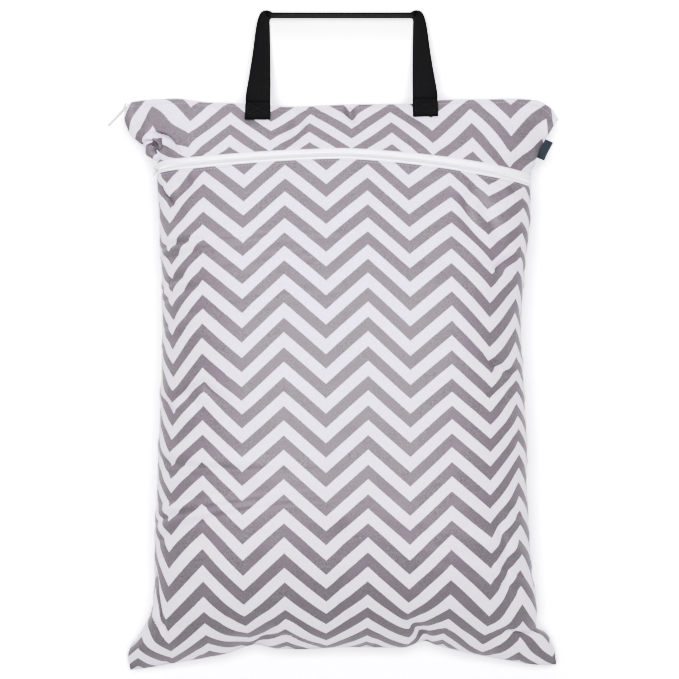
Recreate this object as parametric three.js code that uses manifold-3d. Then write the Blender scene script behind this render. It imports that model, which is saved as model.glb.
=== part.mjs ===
// A large cloth wet bag, stuffed full and lying on its back, in millimetres.
// +X is the bag's right as it is looked at, +Y runs up to the handle and +Z is away from the surface.
// The origin lies on the flat of the back wall, under the middle of the bag.
import * as THREE from 'three';
import { mergeVertices } from 'three/addons/utils/BufferGeometryUtils.js';
import Module from 'manifold-3d';

// Driving dimensions of the stuffed body
const bodyWidth = 366;
const bodyLength = 545;
const bodyThickness = 148;
const bottomToOrigin = 306.5;
const fabric = 1.2;
const seamMitre = 2;
const clearance = 0.3;

// The zips
const tapeWidth = 4.3;
const coilWidth = 3.2;
const tapeThickness = 1.2;
const coilRise = 0.7;
const tapeProud = 0.5;
const pocketZipAt = 0.899;

// Zip sliders and their pulls
const sliderLength = 9;
const sliderWidth = 8;
const sliderPlate = 1.2;
const sliderCorner = 2;
const innerPlateInset = 0.5;
const sliderNeck = 2.4;
const neckLength = 5;
const neckRoot = 0.5;
const sliderSeat = 0.5;
const crownWidth = 2.2;
const crownSpan = 7.2;
const crownBar = 1.1;
const crownHollow = 2.6;
const crownSill = 0.3;
const crownRoot = 0.5;
const crownCorner = 1.3;
const pullLength = 26;
const pullWidth = 6.6;
const pullRootWidth = 5.7;
const pullCorner = 2.3;
const pullThickness = 1.1;
const pullEye = 4.6;
const pullEdge = 0.6;
const pullPlay = 0.5;
const topPullLean = 12;
const pocketPullLean = -10;

// The webbing handle
const webbingWidth = 25;
const webbingThickness = 1.5;
const handleReach = 97;
const handleSpan = 150;
const sewnLength = 18;
const sewnSeat = 0.8;
const sewnForeshortening = 0.8;

// The label in the right seam
const labelLength = 20;
const labelReach = 8;
const labelThickness = 1.2;
const labelCorner = 0.8;
const labelAt = 0.955;
const labelTilt = 20;

const finishes = {
  print: { color: 0xc4bfc6, roughness: 0.75 },
  tape: { color: 0xe9e8ee, roughness: 0.7 },
  coil: { color: 0xe9e8ee, roughness: 0.5 },
  metal: { color: 0xd8d8dc, roughness: 0.35, metalness: 0.3 },
  webbing: { color: 0x1c1c1e, roughness: 0.85 },
  label: { color: 0x1d3038, roughness: 0.8 },
};

// The side seams, from the bottom corner to the top corner.
// at: share of the length on the centre line; along: where the seam lies there, as a share of
// bodyLength; out: distance from the middle, as a share of half of bodyWidth; seam: height, as a
// share of bodyThickness.
const leftSide = [
  { at: 0, along: -0.04, out: 1.164, seam: 0.15 },
  { at: 0.02, along: -0.0165, out: 1.169, seam: 0.18 },
  { at: 0.05, along: 0.009, out: 1.112, seam: 0.25 },
  { at: 0.085, along: 0.051, out: 1.052, seam: 0.33 },
  { at: 0.12, along: 0.088, out: 1.025, seam: 0.38 },
  { at: 0.22, along: 0.198, out: 1.014, seam: 0.42 },
  { at: 0.4, along: 0.382, out: 0.992, seam: 0.43 },
  { at: 0.59, along: 0.584, out: 0.975, seam: 0.43 },
  { at: 0.78, along: 0.767, out: 0.986, seam: 0.43 },
  { at: 0.885, along: 0.862, out: 1.005, seam: 0.42 },
  { at: 0.905, along: 0.883, out: 1.0, seam: 0.41 },
  { at: 0.925, along: 0.901, out: 1.035, seam: 0.39 },
  { at: 0.945, along: 0.925, out: 1.096, seam: 0.36 },
  { at: 0.965, along: 0.947, out: 1.165, seam: 0.33 },
  { at: 0.984, along: 0.974, out: 1.191, seam: 0.315 },
  { at: 1, along: 0.994, out: 1.178, seam: 0.318 },
];
const rightSide = [
  { at: 0, along: -0.031, out: 1.194, seam: 0.15 },
  { at: 0.02, along: -0.004, out: 1.172, seam: 0.18 },
  { at: 0.04, along: 0.02, out: 1.13, seam: 0.22 },
  { at: 0.055, along: 0.033, out: 1.072, seam: 0.28 },
  { at: 0.09, along: 0.066, out: 1.074, seam: 0.34 },
  { at: 0.15, along: 0.134, out: 1.041, seam: 0.4 },
  { at: 0.27, along: 0.253, out: 1.014, seam: 0.42 },
  { at: 0.41, along: 0.4, out: 1.003, seam: 0.43 },
  { at: 0.58, along: 0.574, out: 0.978, seam: 0.43 },
  { at: 0.72, along: 0.712, out: 1.003, seam: 0.43 },
  { at: 0.83, along: 0.8, out: 1.03, seam: 0.42 },
  { at: 0.89, along: 0.845, out: 1.032, seam: 0.41 },
  { at: 0.91, along: 0.867, out: 1.034, seam: 0.4 },
  { at: 0.935, along: 0.894, out: 1.06, seam: 0.37 },
  { at: 0.965, along: 0.932, out: 1.115, seam: 0.33 },
  { at: 1, along: 0.972, out: 1.187, seam: 0.318 },
];

// The centre line. front: how far the front wall has risen from the seams to its highest point;
// back: how far the back wall has sunk from the seams, where 1 is the surface; seam: the height that
// the walls spread from, as a share of bodyThickness.
const centreLine = [
  { at: 0, front: 0, back: 0, seam: 0.34 },
  { at: 0.01, front: 0.13, back: 0.22, seam: 0.345 },
  { at: 0.0275, front: 0.29, back: 0.5, seam: 0.355 },
  { at: 0.064, front: 0.5, back: 0.85, seam: 0.37 },
  { at: 0.119, front: 0.72, back: 1.25, seam: 0.39 },
  { at: 0.183, front: 0.87, back: 1.5, seam: 0.4 },
  { at: 0.25, front: 0.95, back: 1.6, seam: 0.42 },
  { at: 0.45, front: 1, back: 1.6, seam: 0.42 },
  { at: 0.6, front: 0.97, back: 1.6, seam: 0.42 },
  { at: 0.694, front: 0.875, back: 1.5, seam: 0.41 },
  { at: 0.767, front: 0.74, back: 1.35, seam: 0.4 },
  { at: 0.85, front: 0.57, back: 1.1, seam: 0.39 },
  { at: 0.9, front: 0.46, back: 0.9, seam: 0.385 },
  { at: 0.95, front: 0.22, back: 0.6, seam: 0.38 },
  { at: 1, front: 0, back: 0, seam: 0.38 },
];

// The ends seen from above. across: share of the half width there; along: share of bodyLength.
const bottomEdge = [
  { across: -1, along: -0.04 },
  { across: -0.93, along: -0.037 },
  { across: -0.76, along: -0.025 },
  { across: -0.55, along: -0.011 },
  { across: -0.395, along: 0.005 },
  { across: -0.3, along: -0.001 },
  { across: -0.19, along: -0.002 },
  { across: 0.02, along: 0.002 },
  { across: 0.28, along: 0.001 },
  { across: 0.385, along: 0.012 },
  { across: 0.42, along: 0.007 },
  { across: 0.57, along: -0.008 },
  { across: 0.76, along: -0.021 },
  { across: 0.93, along: -0.031 },
  { across: 1, along: -0.031 },
];
const topEdge = [
  { across: -1, along: 0.994 },
  { across: -0.976, along: 1.003 },
  { across: -0.87, along: 1.007 },
  { across: -0.77, along: 1.008 },
  { across: -0.63, along: 1.001 },
  { across: -0.45, along: 0.998 },
  { across: -0.24, along: 0.992 },
  { across: 0.02, along: 0.996 },
  { across: 0.32, along: 0.998 },
  { across: 0.46, along: 1.005 },
  { across: 0.63, along: 1.006 },
  { across: 0.8, along: 1.008 },
  { across: 0.89, along: 1.006 },
  { across: 0.96, along: 0.994 },
  { across: 1, along: 0.972 },
];

// Folds and dents in the front wall. x and y: middle, as shares of half of bodyWidth and of
// bodyLength; long and wide: half sizes, as shares of bodyWidth; deep: share of bodyThickness; turn:
// degrees from +X.
const frontFolds = [
  { name: 'left shoulder valley', x: -0.872, y: 0.837, long: 0.06, wide: 0.026, deep: 0.045, turn: 31 },
  { name: 'left middle crease', x: -0.8, y: 0.462, long: 0.075, wide: 0.024, deep: 0.022, turn: -40 },
  { name: 'right shoulder valley', x: 0.79, y: 0.774, long: 0.11, wide: 0.03, deep: 0.045, turn: -69 },
  { name: 'right middle pinch', x: 0.85, y: 0.5, long: 0.08, wide: 0.024, deep: 0.03, turn: -62 },
  { name: 'right lower bend', x: 0.866, y: 0.18, long: 0.14, wide: 0.028, deep: 0.025, turn: -80 },
  { name: 'top dimple', x: 0.06, y: 0.984, long: 0.04, wide: 0.024, deep: 0.03, turn: 88 },
  { name: 'top soft valley', x: -0.24, y: 0.946, long: 0.055, wide: 0.026, deep: 0.022, turn: -70 },
  { name: 'bottom left fold', x: -0.32, y: 0.018, long: 0.075, wide: 0.022, deep: 0.035, turn: -25 },
  { name: 'bottom right fold', x: 0.45, y: 0.03, long: 0.07, wide: 0.022, deep: 0.04, turn: 60 },
  { name: 'left corner crease', x: -1, y: 0.921, long: 0.055, wide: 0.02, deep: 0.09, turn: -14 },
  { name: 'right corner crease', x: 1, y: 0.893, long: 0.05, wide: 0.022, deep: 0.07, turn: 20 },
];

// The handle's legs. reach: share of handleReach from the top seam; inner: the inner edge's place,
// as a share of half of handleSpan; drop: its height, as a share of the height at the seam; lean:
// degrees that the outer edge has turned up; head: degrees that the leg has turned towards the other.
const handleLeg = [
  { reach: 0.03, inner: 0.945, drop: 1, lean: 3, head: 0 },
  { reach: 0.12, inner: 0.948, drop: 0.86, lean: 16, head: 0 },
  { reach: 0.25, inner: 0.955, drop: 0.64, lean: 28, head: 0 },
  { reach: 0.42, inner: 0.965, drop: 0.4, lean: 39, head: 1 },
  { reach: 0.6, inner: 0.975, drop: 0.2, lean: 48, head: 4 },
  { reach: 0.76, inner: 0.985, drop: 0.08, lean: 55, head: 8 },
  { reach: 0.89, inner: 0.992, drop: 0.02, lean: 62, head: 14 },
  { reach: 0.965, inner: 0.995, drop: 0, lean: 70, head: 28 },
  { reach: 0.99, inner: 0.985, drop: 0, lean: 80, head: 55 },
  { reach: 1, inner: 0.95, drop: 0, lean: 88, head: 82 },
  { reach: 1, inner: 0.86, drop: 0, lean: 90, head: 90 },
];

// Angles of the sections round the handle's turned-under ends, in degrees
const foldAngles = [45, 90, 135];

// Facets across and along each wall
const columns = 28;
const pocketRows = 29;
const rowCrowding = 1.3;
const shoulderRows = 4;
const fineStep = 1e-4;
const thinSpread = 2;
const fullSpread = 8;
const thinShare = 0.6;

// Shape of the walls between the seams
const boxiness = 4;
const bowOfRows = 1.5;
const seamBlend = 3;
const endFade = 0.11;
const foldFade = 0.02;
const foldToSides = 8;
const deepestFold = 0.5;

// Where the top zip turns down the sides, as shares of the length. It is narrow at the first place
// and has its full width from the third.
const zipTurn = [0.968, 0.976, 0.984, 0.99];
const zipEndHalf = 1;
const zipEaseStart = 0.8;
const easeToSides = 8;

const half = bodyWidth / 2;
const rad = THREE.MathUtils.degToRad;
const zipHalf = coilWidth / 2 + clearance + tapeWidth;
const vector = (x, y, z) => new THREE.Vector3(x, y, z);

// A smooth curve through the rows of a table that never overshoots them
function curve(rows, key, value) {
  const k = rows.map((row) => row[key]);
  const v = rows.map((row) => row[value]);
  const slope = v.slice(1).map((next, i) => (next - v[i]) / (k[i + 1] - k[i]));
  const tangent = v.map((_, i) => {
    if (i === 0) return slope[0];
    if (i === v.length - 1) return slope[i - 1];
    if (slope[i - 1] * slope[i] <= 0) return 0;
    return (2 * slope[i - 1] * slope[i]) / (slope[i - 1] + slope[i]);
  });
  return (q) => {
    const last = k.length - 2;
    const found = k.findIndex((_, n) => n <= last && q < k[n + 1]);
    const i = found < 0 ? last : found;
    const width = k[i + 1] - k[i];
    const f = THREE.MathUtils.clamp((q - k[i]) / width, 0, 1);
    const g = 1 - f;
    return v[i] * g * g * (1 + 2 * f)
      + v[i + 1] * f * f * (1 + 2 * g)
      + width * f * g * (tangent[i] * g - tangent[i + 1] * f);
  };
}

const left = {
  along: curve(leftSide, 'at', 'along'),
  out: curve(leftSide, 'at', 'out'),
  seam: curve(leftSide, 'at', 'seam'),
};
const right = {
  along: curve(rightSide, 'at', 'along'),
  out: curve(rightSide, 'at', 'out'),
  seam: curve(rightSide, 'at', 'seam'),
};
const centre = {
  front: curve(centreLine, 'at', 'front'),
  back: curve(centreLine, 'at', 'back'),
  seam: curve(centreLine, 'at', 'seam'),
};
const bottomAlong = curve(bottomEdge, 'across', 'along');
const topAlong = curve(topEdge, 'across', 'along');
const smooth = THREE.MathUtils.smoothstep;

// The place seen from above of a point at share `across` of the half width and `at` of the length
function plan(across, at) {
  const side = across < 0 ? left : right;
  const bow = Math.abs(across) ** bowOfRows;
  const line = (t) => t + (side.along(t) - t) * bow;
  const nearBottom = 1 - smooth(at, 0, endFade);
  const nearTop = smooth(at, 1 - endFade, 1);
  const along = line(at)
    + nearBottom * (bottomAlong(across) - line(0))
    + nearTop * (topAlong(across) - line(1));
  return {
    x: across * half * side.out(at),
    y: along * bodyLength - bottomToOrigin,
  };
}

// The height that both walls spread from
function seamHeight(across, at) {
  const side = across < 0 ? left : right;
  const share = Math.abs(across) ** seamBlend;
  return bodyThickness * (side.seam(at) * share + centre.seam(at) * (1 - share));
}

// Half of the gap between the walls' edges at the side seams, which the top zip's ends fill
function edgeHalf(at) {
  if (at < zipTurn[0]) return clearance / 2;
  const share = smooth(at, zipTurn[0], zipTurn[2]);
  return zipEndHalf + (zipHalf + clearance - zipEndHalf) * share;
}

// How far a wall has left the seams' height on its way to the top zip
function easeToZip(across, at) {
  const nearSide = Math.abs(across) ** easeToSides;
  const inside = (zipHalf + clearance) * smooth(at, zipEaseStart, 1) + clearance / 2;
  return edgeHalf(at) * nearSide + Math.min(inside, zipHalf + clearance) * (1 - nearSide);
}

const roundness = (across) => Math.sqrt(Math.max(0, 1 - Math.abs(across) ** boxiness));

function foldDepth(x, y, across, at) {
  const edge = (1 - Math.abs(across) ** foldToSides) * smooth(1 - at, 0, foldFade) * smooth(at, 0, foldFade);
  return frontFolds.reduce((sum, fold) => {
    const dx = x - fold.x * half;
    const dy = y - (fold.y * bodyLength - bottomToOrigin);
    const along = dx * Math.cos(rad(fold.turn)) + dy * Math.sin(rad(fold.turn));
    const aside = dy * Math.cos(rad(fold.turn)) - dx * Math.sin(rad(fold.turn));
    const fall = (along / (fold.long * bodyWidth)) ** 2 + (aside / (fold.wide * bodyWidth)) ** 2;
    return sum + edge * fold.deep * bodyThickness * Math.exp(-fall);
  }, 0);
}

function frontPoint(across, at) {
  const { x, y } = plan(across, at);
  const base = seamHeight(across, at);
  const rise = (bodyThickness - centre.seam(at) * bodyThickness) * centre.front(at);
  const lift = easeToZip(across, at) + rise * roundness(across);
  const dent = Math.min(foldDepth(x, y, across, at), deepestFold * lift);
  return vector(x, y, base + lift - dent);
}

function backPoint(across, at) {
  const { x, y } = plan(across, at);
  const base = seamHeight(across, at) - easeToZip(across, at);
  const sink = Math.min(1, centre.back(at) * roundness(across));
  return vector(x, y, base * (1 - sink));
}

// The outward normal of a wall
function normalOf(point, across, at, outward) {
  const a0 = Math.max(across - fineStep, -1);
  const a1 = Math.min(across + fineStep, 1);
  const t0 = Math.max(at - fineStep, 0);
  const t1 = Math.min(at + fineStep, 1);
  const u = point(a1, at).sub(point(a0, at));
  const v = point(across, t1).sub(point(across, t0));
  return u.cross(v).normalize().multiplyScalar(outward);
}

// A closed wall between two grids of points with the same rows and columns
function wall(outer, inner) {
  const rows = outer.length;
  const cols = outer[0].length;
  const points = [...outer.flat(), ...inner.flat()];
  const index = [];
  const quad = (a, b, c, d) => index.push(a, b, c, a, c, d);
  const out = (i, j) => i * cols + j;
  const inn = (i, j) => rows * cols + i * cols + j;
  for (let i = 0; i < rows - 1; i += 1) {
    for (let j = 0; j < cols - 1; j += 1) {
      quad(out(i, j), out(i, j + 1), out(i + 1, j + 1), out(i + 1, j));
      quad(inn(i, j), inn(i + 1, j), inn(i + 1, j + 1), inn(i, j + 1));
    }
    quad(out(i, 0), out(i + 1, 0), inn(i + 1, 0), inn(i, 0));
    quad(out(i, cols - 1), inn(i, cols - 1), inn(i + 1, cols - 1), out(i + 1, cols - 1));
  }
  for (let j = 0; j < cols - 1; j += 1) {
    quad(out(0, j), inn(0, j), inn(0, j + 1), out(0, j + 1));
    quad(out(rows - 1, j), out(rows - 1, j + 1), inn(rows - 1, j + 1), inn(rows - 1, j));
  }
  return closed(points, index);
}

// A geometry from points and triangles, with its faces turned outwards
function closed(points, index) {
  let volume = 0;
  for (let i = 0; i < index.length; i += 3) {
    const [a, b, c] = [points[index[i]], points[index[i + 1]], points[index[i + 2]]];
    volume += a.dot(b.clone().cross(c));
  }
  const turned = volume < 0 ? [...index].reverse() : index;
  const geometry = new THREE.BufferGeometry().setFromPoints(points);
  geometry.setIndex(turned);
  geometry.computeVertexNormals();
  return geometry;
}

const acrossSteps = Array.from(
  { length: columns + 1 },
  (_, j) => Math.sin((Math.PI / 2) * ((2 * j) / columns - 1)),
);

// A stretch of a wall. Its rim lies flat on the seam along the bag's outline, and is cut square
// elsewhere. raised gives how far each row stands out of the wall, and sunk how far the inner face
// lies in it.
function clothWall(point, outward, rows, steps, raised, sunk, mitre) {
  const outer = [];
  const inner = [];
  rows.forEach((at, i) => {
    outer.push([]);
    inner.push([]);
    steps.forEach((across) => {
      const on = point(across, at);
      if (Math.abs(across) === 1 || at === 0 || at === 1) {
        outer.at(-1).push(on);
        inner.at(-1).push(on.clone().addScaledVector(rimDirection(across, at), mitre));
        return;
      }
      const normal = normalOf(point, across, at, outward);
      const spread = Math.abs(on.z - seamHeight(across, at));
      const full = smooth(spread, thinSpread, fullSpread);
      const level = vector(0, 0, -outward * Math.min(sunk, spread * thinShare));
      outer.at(-1).push(on.clone().addScaledVector(normal, raised[i]));
      inner.at(-1).push(on.clone().addScaledVector(normal, -sunk * full)
        .addScaledVector(level, 1 - full));
    });
  });
  return wall(outer, inner);
}

// The level direction from the outline into the bag, square to the outline
function rimDirection(across, at) {
  const level = (a, t) => {
    const { x, y } = plan(a, t);
    return vector(x, y, 0);
  };
  const inward = vector(0, 0, 0);
  if (Math.abs(across) === 1) {
    const t0 = Math.max(at - fineStep, 0);
    const t1 = Math.min(at + fineStep, 1);
    const along = level(across, t1).sub(level(across, t0)).normalize();
    inward.add(vector(-along.y, along.x, 0).multiplyScalar(across));
  }
  if (at === 0 || at === 1) {
    const a0 = Math.max(across - fineStep, -1);
    const a1 = Math.min(across + fineStep, 1);
    const along = level(a1, at).sub(level(a0, at)).normalize();
    inward.add(vector(-along.y, along.x, 0).multiplyScalar(at === 0 ? 1 : -1));
  }
  return inward.normalize();
}

const shares = (count, power) => Array.from({ length: count + 1 }, (_, i) => (i / count) ** power);
const zipSteps = acrossSteps.filter((_, j) => j !== 1);
const coilSteps = zipSteps.slice(1);

// Shares of the length that lie so many millimetres of cloth above or below the pocket zip's middle
const zipSlope = frontPoint(0, pocketZipAt + fineStep).distanceTo(frontPoint(0, pocketZipAt - fineStep))
  / (2 * fineStep);
const beside = (distance) => pocketZipAt + distance / zipSlope;
const pocketZipBand = {
  lowerWall: beside(-zipHalf - clearance),
  lowerTape: [beside(-zipHalf), beside(-coilWidth / 2 - clearance)],
  coil: [beside(-coilWidth / 2), beside(0), beside(coilWidth / 2)],
  upperTape: [beside(coilWidth / 2 + clearance), beside(zipHalf)],
  upperWall: beside(zipHalf + clearance),
};

const pocketStations = shares(pocketRows, rowCrowding).map((share) => share * pocketZipBand.lowerWall);
const shoulder = zipTurn[0] - pocketZipBand.upperWall;
const upperStations = [
  ...shares(shoulderRows, 1).map((share) => pocketZipBand.upperWall + share * shoulder),
  ...zipTurn.slice(1),
  1,
];
const backStations = [...pocketStations, pocketZipAt, ...upperStations];

function panel(point, outward, rows) {
  return clothWall(point, outward, rows, acrossSteps, rows.map(() => 0), fabric, seamMitre);
}

function pocketZipStrip(rows, steps, raised) {
  return clothWall(frontPoint, 1, rows, steps, raised, tapeThickness - tapeProud, tapeThickness);
}

// The line of the top zip: down the left side, along the top edge, and down the right side. The
// stretch with the slider is one straight facet.
const topZipStations = [
  ...zipTurn.map((at) => ({ across: -1, at })),
  ...acrossSteps.slice(2).map((across) => ({ across, at: 1 })),
  ...[...zipTurn].reverse().map((at) => ({ across: 1, at })),
];
const sliderStation = zipTurn.length - 1;

function topZipLine() {
  const on = topZipStations.map(({ across, at }) => {
    const { x, y } = plan(across, at);
    return vector(x, y, seamHeight(across, at));
  });
  return on.map((point, i) => {
    const before = on[Math.max(i - 1, 0)];
    const after = on[Math.min(i + 1, on.length - 1)];
    const along = after.clone().sub(before).setZ(0).normalize();
    return {
      point,
      out: vector(-along.y, along.x, 0),
      half: edgeHalf(topZipStations[i].at) - clearance,
    };
  });
}

// A strip of the top zip between two heights, given as shares of the zip's half height
function topZipStrip(line, heights, rise = 0) {
  const row = (share, raised) => line.map(({ point, out, half: tall }) => point.clone()
    .addScaledVector(out, raised)
    .add(vector(0, 0, share * tall)));
  const middle = (heights.length - 1) / 2;
  const outer = heights.map((share, i) => row(share, tapeProud + (i === middle ? rise : 0)));
  const inner = heights.map((share) => row(share, tapeProud - tapeThickness));
  return wall(outer, inner);
}

// A solid joined from closed geometries
const wasm = await Module();
wasm.setup();

function solidOf(geometry) {
  const bare = geometry.clone();
  bare.deleteAttribute('normal');
  bare.deleteAttribute('uv');
  const merged = mergeVertices(bare);
  return new wasm.Manifold(new wasm.Mesh({
    numProp: 3,
    vertProperties: new Float32Array(merged.attributes.position.array),
    triVerts: new Uint32Array(merged.index.array),
  }));
}

function joined(...geometries) {
  const whole = geometries.map(solidOf).reduce((sum, next) => sum.add(next));
  const mesh = whole.getMesh();
  const geometry = new THREE.BufferGeometry();
  geometry.setAttribute('position', new THREE.BufferAttribute(mesh.vertProperties, 3));
  geometry.setIndex(new THREE.BufferAttribute(mesh.triVerts, 1));
  geometry.computeVertexNormals();
  return geometry;
}

const plateTop = sliderSeat + sliderPlate;
const pinHeight = plateTop + crownSill + crownHollow / 2;

function roundedPlate(length, width, corner) {
  const shape = new THREE.Shape();
  const x = length / 2;
  const y = width / 2;
  shape.moveTo(-x + corner, -y);
  shape.lineTo(x - corner, -y);
  shape.quadraticCurveTo(x, -y, x, -y + corner);
  shape.lineTo(x, y - corner);
  shape.quadraticCurveTo(x, y, x - corner, y);
  shape.lineTo(-x + corner, y);
  shape.quadraticCurveTo(-x, y, -x, y - corner);
  shape.lineTo(-x, -y + corner);
  shape.quadraticCurveTo(-x, -y, -x + corner, -y);
  return shape;
}

// A slider: a plate on each side of the tapes, a neck between them, and the crown that holds the
// pull. Local X runs along the zip, Z out of the bag, and Z = 0 is the face of the tapes.
function slider() {
  const plate = new THREE.ExtrudeGeometry(
    roundedPlate(sliderLength, sliderWidth, sliderCorner),
    { depth: sliderPlate, bevelEnabled: false, curveSegments: 3 },
  ).translate(0, 0, sliderSeat);
  const inset = 2 * innerPlateInset;
  const innerPlate = new THREE.ExtrudeGeometry(
    roundedPlate(sliderLength - inset, sliderWidth - inset, sliderCorner),
    { depth: sliderPlate, bevelEnabled: false, curveSegments: 3 },
  ).translate(0, 0, -tapeThickness - 2 * clearance - sliderPlate);
  const neckTall = tapeThickness + 3 * clearance + 2 * neckRoot;
  const neck = new THREE.BoxGeometry(neckLength, sliderNeck, neckTall)
    .translate(0, 0, -(tapeThickness + clearance) / 2);
  const arch = new THREE.Shape();
  const foot = crownSpan / 2;
  const top = crownSill + crownHollow + crownBar;
  arch.moveTo(-foot, -crownRoot);
  arch.lineTo(foot, -crownRoot);
  arch.lineTo(foot, top - crownCorner);
  arch.quadraticCurveTo(foot, top, foot - crownCorner, top);
  arch.lineTo(-foot + crownCorner, top);
  arch.quadraticCurveTo(-foot, top, -foot, top - crownCorner);
  const hollow = new THREE.Path();
  hollow.moveTo(-foot + crownBar, crownSill);
  hollow.lineTo(-foot + crownBar, crownSill + crownHollow);
  hollow.lineTo(foot - crownBar, crownSill + crownHollow);
  hollow.lineTo(foot - crownBar, crownSill);
  arch.holes.push(hollow);
  const crown = new THREE.ExtrudeGeometry(
    arch,
    { depth: crownWidth, bevelEnabled: false, curveSegments: 3 },
  ).translate(0, 0, -crownWidth / 2).rotateX(Math.PI / 2).translate(0, 0, plateTop);
  return joined(plate, innerPlate, neck, crown);
}

// A pull: a tab with an eye at its root. Local Y is the hinge axis and the tab runs along X.
function pull() {
  const shape = new THREE.Shape();
  const wide = pullWidth / 2;
  const narrow = pullRootWidth / 2;
  shape.moveTo(-pullEdge, -narrow);
  shape.lineTo(pullLength - pullCorner, -wide);
  shape.quadraticCurveTo(pullLength, -wide, pullLength, -wide + pullCorner);
  shape.lineTo(pullLength, wide - pullCorner);
  shape.quadraticCurveTo(pullLength, wide, pullLength - pullCorner, wide);
  shape.lineTo(-pullEdge, narrow);
  const eyeSide = crownWidth / 2 + pullPlay;
  const eye = new THREE.Path();
  eye.moveTo(pullEdge, -eyeSide);
  eye.lineTo(pullEdge, eyeSide);
  eye.lineTo(pullEdge + pullEye, eyeSide);
  eye.lineTo(pullEdge + pullEye, -eyeSide);
  shape.holes.push(eye);
  return new THREE.ExtrudeGeometry(
    shape,
    { depth: pullThickness, bevelEnabled: false, curveSegments: 4 },
  ).translate(0, 0, -pullThickness / 2);
}

// The webbing: one strip through sections that each have a middle, a direction across and a face
function webbingSection(middle, aside, face) {
  const w = aside.clone().multiplyScalar(webbingWidth / 2);
  const t = face.clone().multiplyScalar(webbingThickness / 2);
  return [
    middle.clone().sub(w).sub(t),
    middle.clone().add(w).sub(t),
    middle.clone().add(w).add(t),
    middle.clone().sub(w).add(t),
  ];
}

function loft(sections) {
  const points = sections.flat();
  const around = sections[0].length;
  const index = [];
  for (let i = 0; i < sections.length - 1; i += 1) {
    for (let j = 0; j < around; j += 1) {
      const a = i * around + j;
      const b = i * around + ((j + 1) % around);
      index.push(a, b, b + around, a, b + around, a + around);
    }
  }
  const end = (sections.length - 1) * around;
  index.push(0, 2, 1, 0, 3, 2, end, end + 1, end + 2, end, end + 2, end + 3);
  return closed(points, index);
}

// One leg of the handle, from its turned-under end on the front wall to the far bar. side is -1 on
// the left and 1 on the right.
function handleLegSections(side) {
  const innerX = handleLeg[0].inner * (handleSpan / 2) * side;
  const outerX = innerX + side * webbingWidth;
  const outline = side < 0 ? left : right;
  const onWall = (x, at) => frontPoint(x / (half * outline.out(at)), at);
  const middle = (at) => onWall(innerX, at).add(onWall(outerX, at)).multiplyScalar(0.5);
  const footAt = 1 - (sewnLength * sewnForeshortening) / bodyLength;
  const top = middle(1);
  const foot = middle(footAt);
  const seamY = Math.max(onWall(innerX, 1).y, onWall(outerX, 1).y);
  const down = foot.clone().sub(top).normalize();
  const flat = onWall(outerX, footAt).sub(onWall(innerX, footAt)).projectOnPlane(down).normalize();
  const face = down.clone().cross(flat).multiplyScalar(side).normalize();
  const under = sewnSeat + webbingThickness / 2;
  const over = under + webbingThickness + clearance;
  const turn = (over - under) / 2;
  const sections = [
    webbingSection(top.clone().addScaledVector(face, under), flat, face.clone().negate()),
    webbingSection(foot.clone().addScaledVector(face, under), flat, face.clone().negate()),
    ...foldAngles.map((angle) => {
      const out = down.clone().multiplyScalar(Math.sin(rad(angle)))
        .addScaledVector(face, -Math.cos(rad(angle)));
      const hub = foot.clone().addScaledVector(face, under + turn);
      return webbingSection(hub.addScaledVector(out, turn), flat, out);
    }),
    webbingSection(foot.clone().addScaledVector(face, over), flat, face),
    webbingSection(top.clone().addScaledVector(face, over), flat, face),
  ];
  const seamTop = top.clone().addScaledVector(face, over);
  const farY = bodyLength - bottomToOrigin + handleReach;
  handleLeg.forEach(({ reach, inner, drop, lean, head }) => {
    const aside = vector(
      side * Math.cos(rad(lean)) * Math.cos(rad(head)),
      Math.cos(rad(lean)) * Math.sin(rad(head)),
      Math.sin(rad(lean)),
    );
    const heading = vector(-side * Math.sin(rad(head)), Math.cos(rad(head)), 0);
    const out = aside.clone().cross(heading).multiplyScalar(side).normalize();
    const floor = (webbingThickness / 2) * Math.abs(out.z);
    const edge = vector(
      side * inner * (handleSpan / 2),
      seamY + reach * (farY - seamY),
      floor + drop * (seamTop.z - floor),
    );
    sections.push(webbingSection(edge.addScaledVector(aside, webbingWidth / 2), aside, out));
  });
  return sections;
}

function handle() {
  const leftLeg = handleLegSections(-1);
  const rightLeg = handleLegSections(1).reverse();
  return loft([...leftLeg, ...rightLeg]);
}

// The label: a flat folded loop that stands out of the right seam
function label() {
  const { x, y } = plan(1, labelAt);
  const before = plan(1, labelAt - foldFade);
  const after = plan(1, labelAt + foldFade);
  const along = vector(after.x - before.x, after.y - before.y, 0).normalize();
  const out = vector(along.y, -along.x, 0);
  const shape = roundedPlate(labelLength, labelReach, labelCorner);
  const geometry = new THREE.ExtrudeGeometry(
    shape,
    { depth: labelThickness, bevelEnabled: false, curveSegments: 2 },
  ).translate(0, labelReach / 2, -labelThickness / 2);
  geometry.rotateX(rad(labelTilt));
  const basis = new THREE.Matrix4().makeBasis(along.clone().negate(), out, vector(0, 0, 1));
  geometry.applyMatrix4(basis);
  return geometry.translate(
    x + out.x * 2 * clearance,
    y + out.y * 2 * clearance,
    seamHeight(1, labelAt),
  );
}

const group = new THREE.Group();

function addMesh(name, geometry, finish) {
  const mesh = new THREE.Mesh(geometry, new THREE.MeshStandardMaterial(finish));
  mesh.name = name;
  group.add(mesh);
  return mesh;
}

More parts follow.
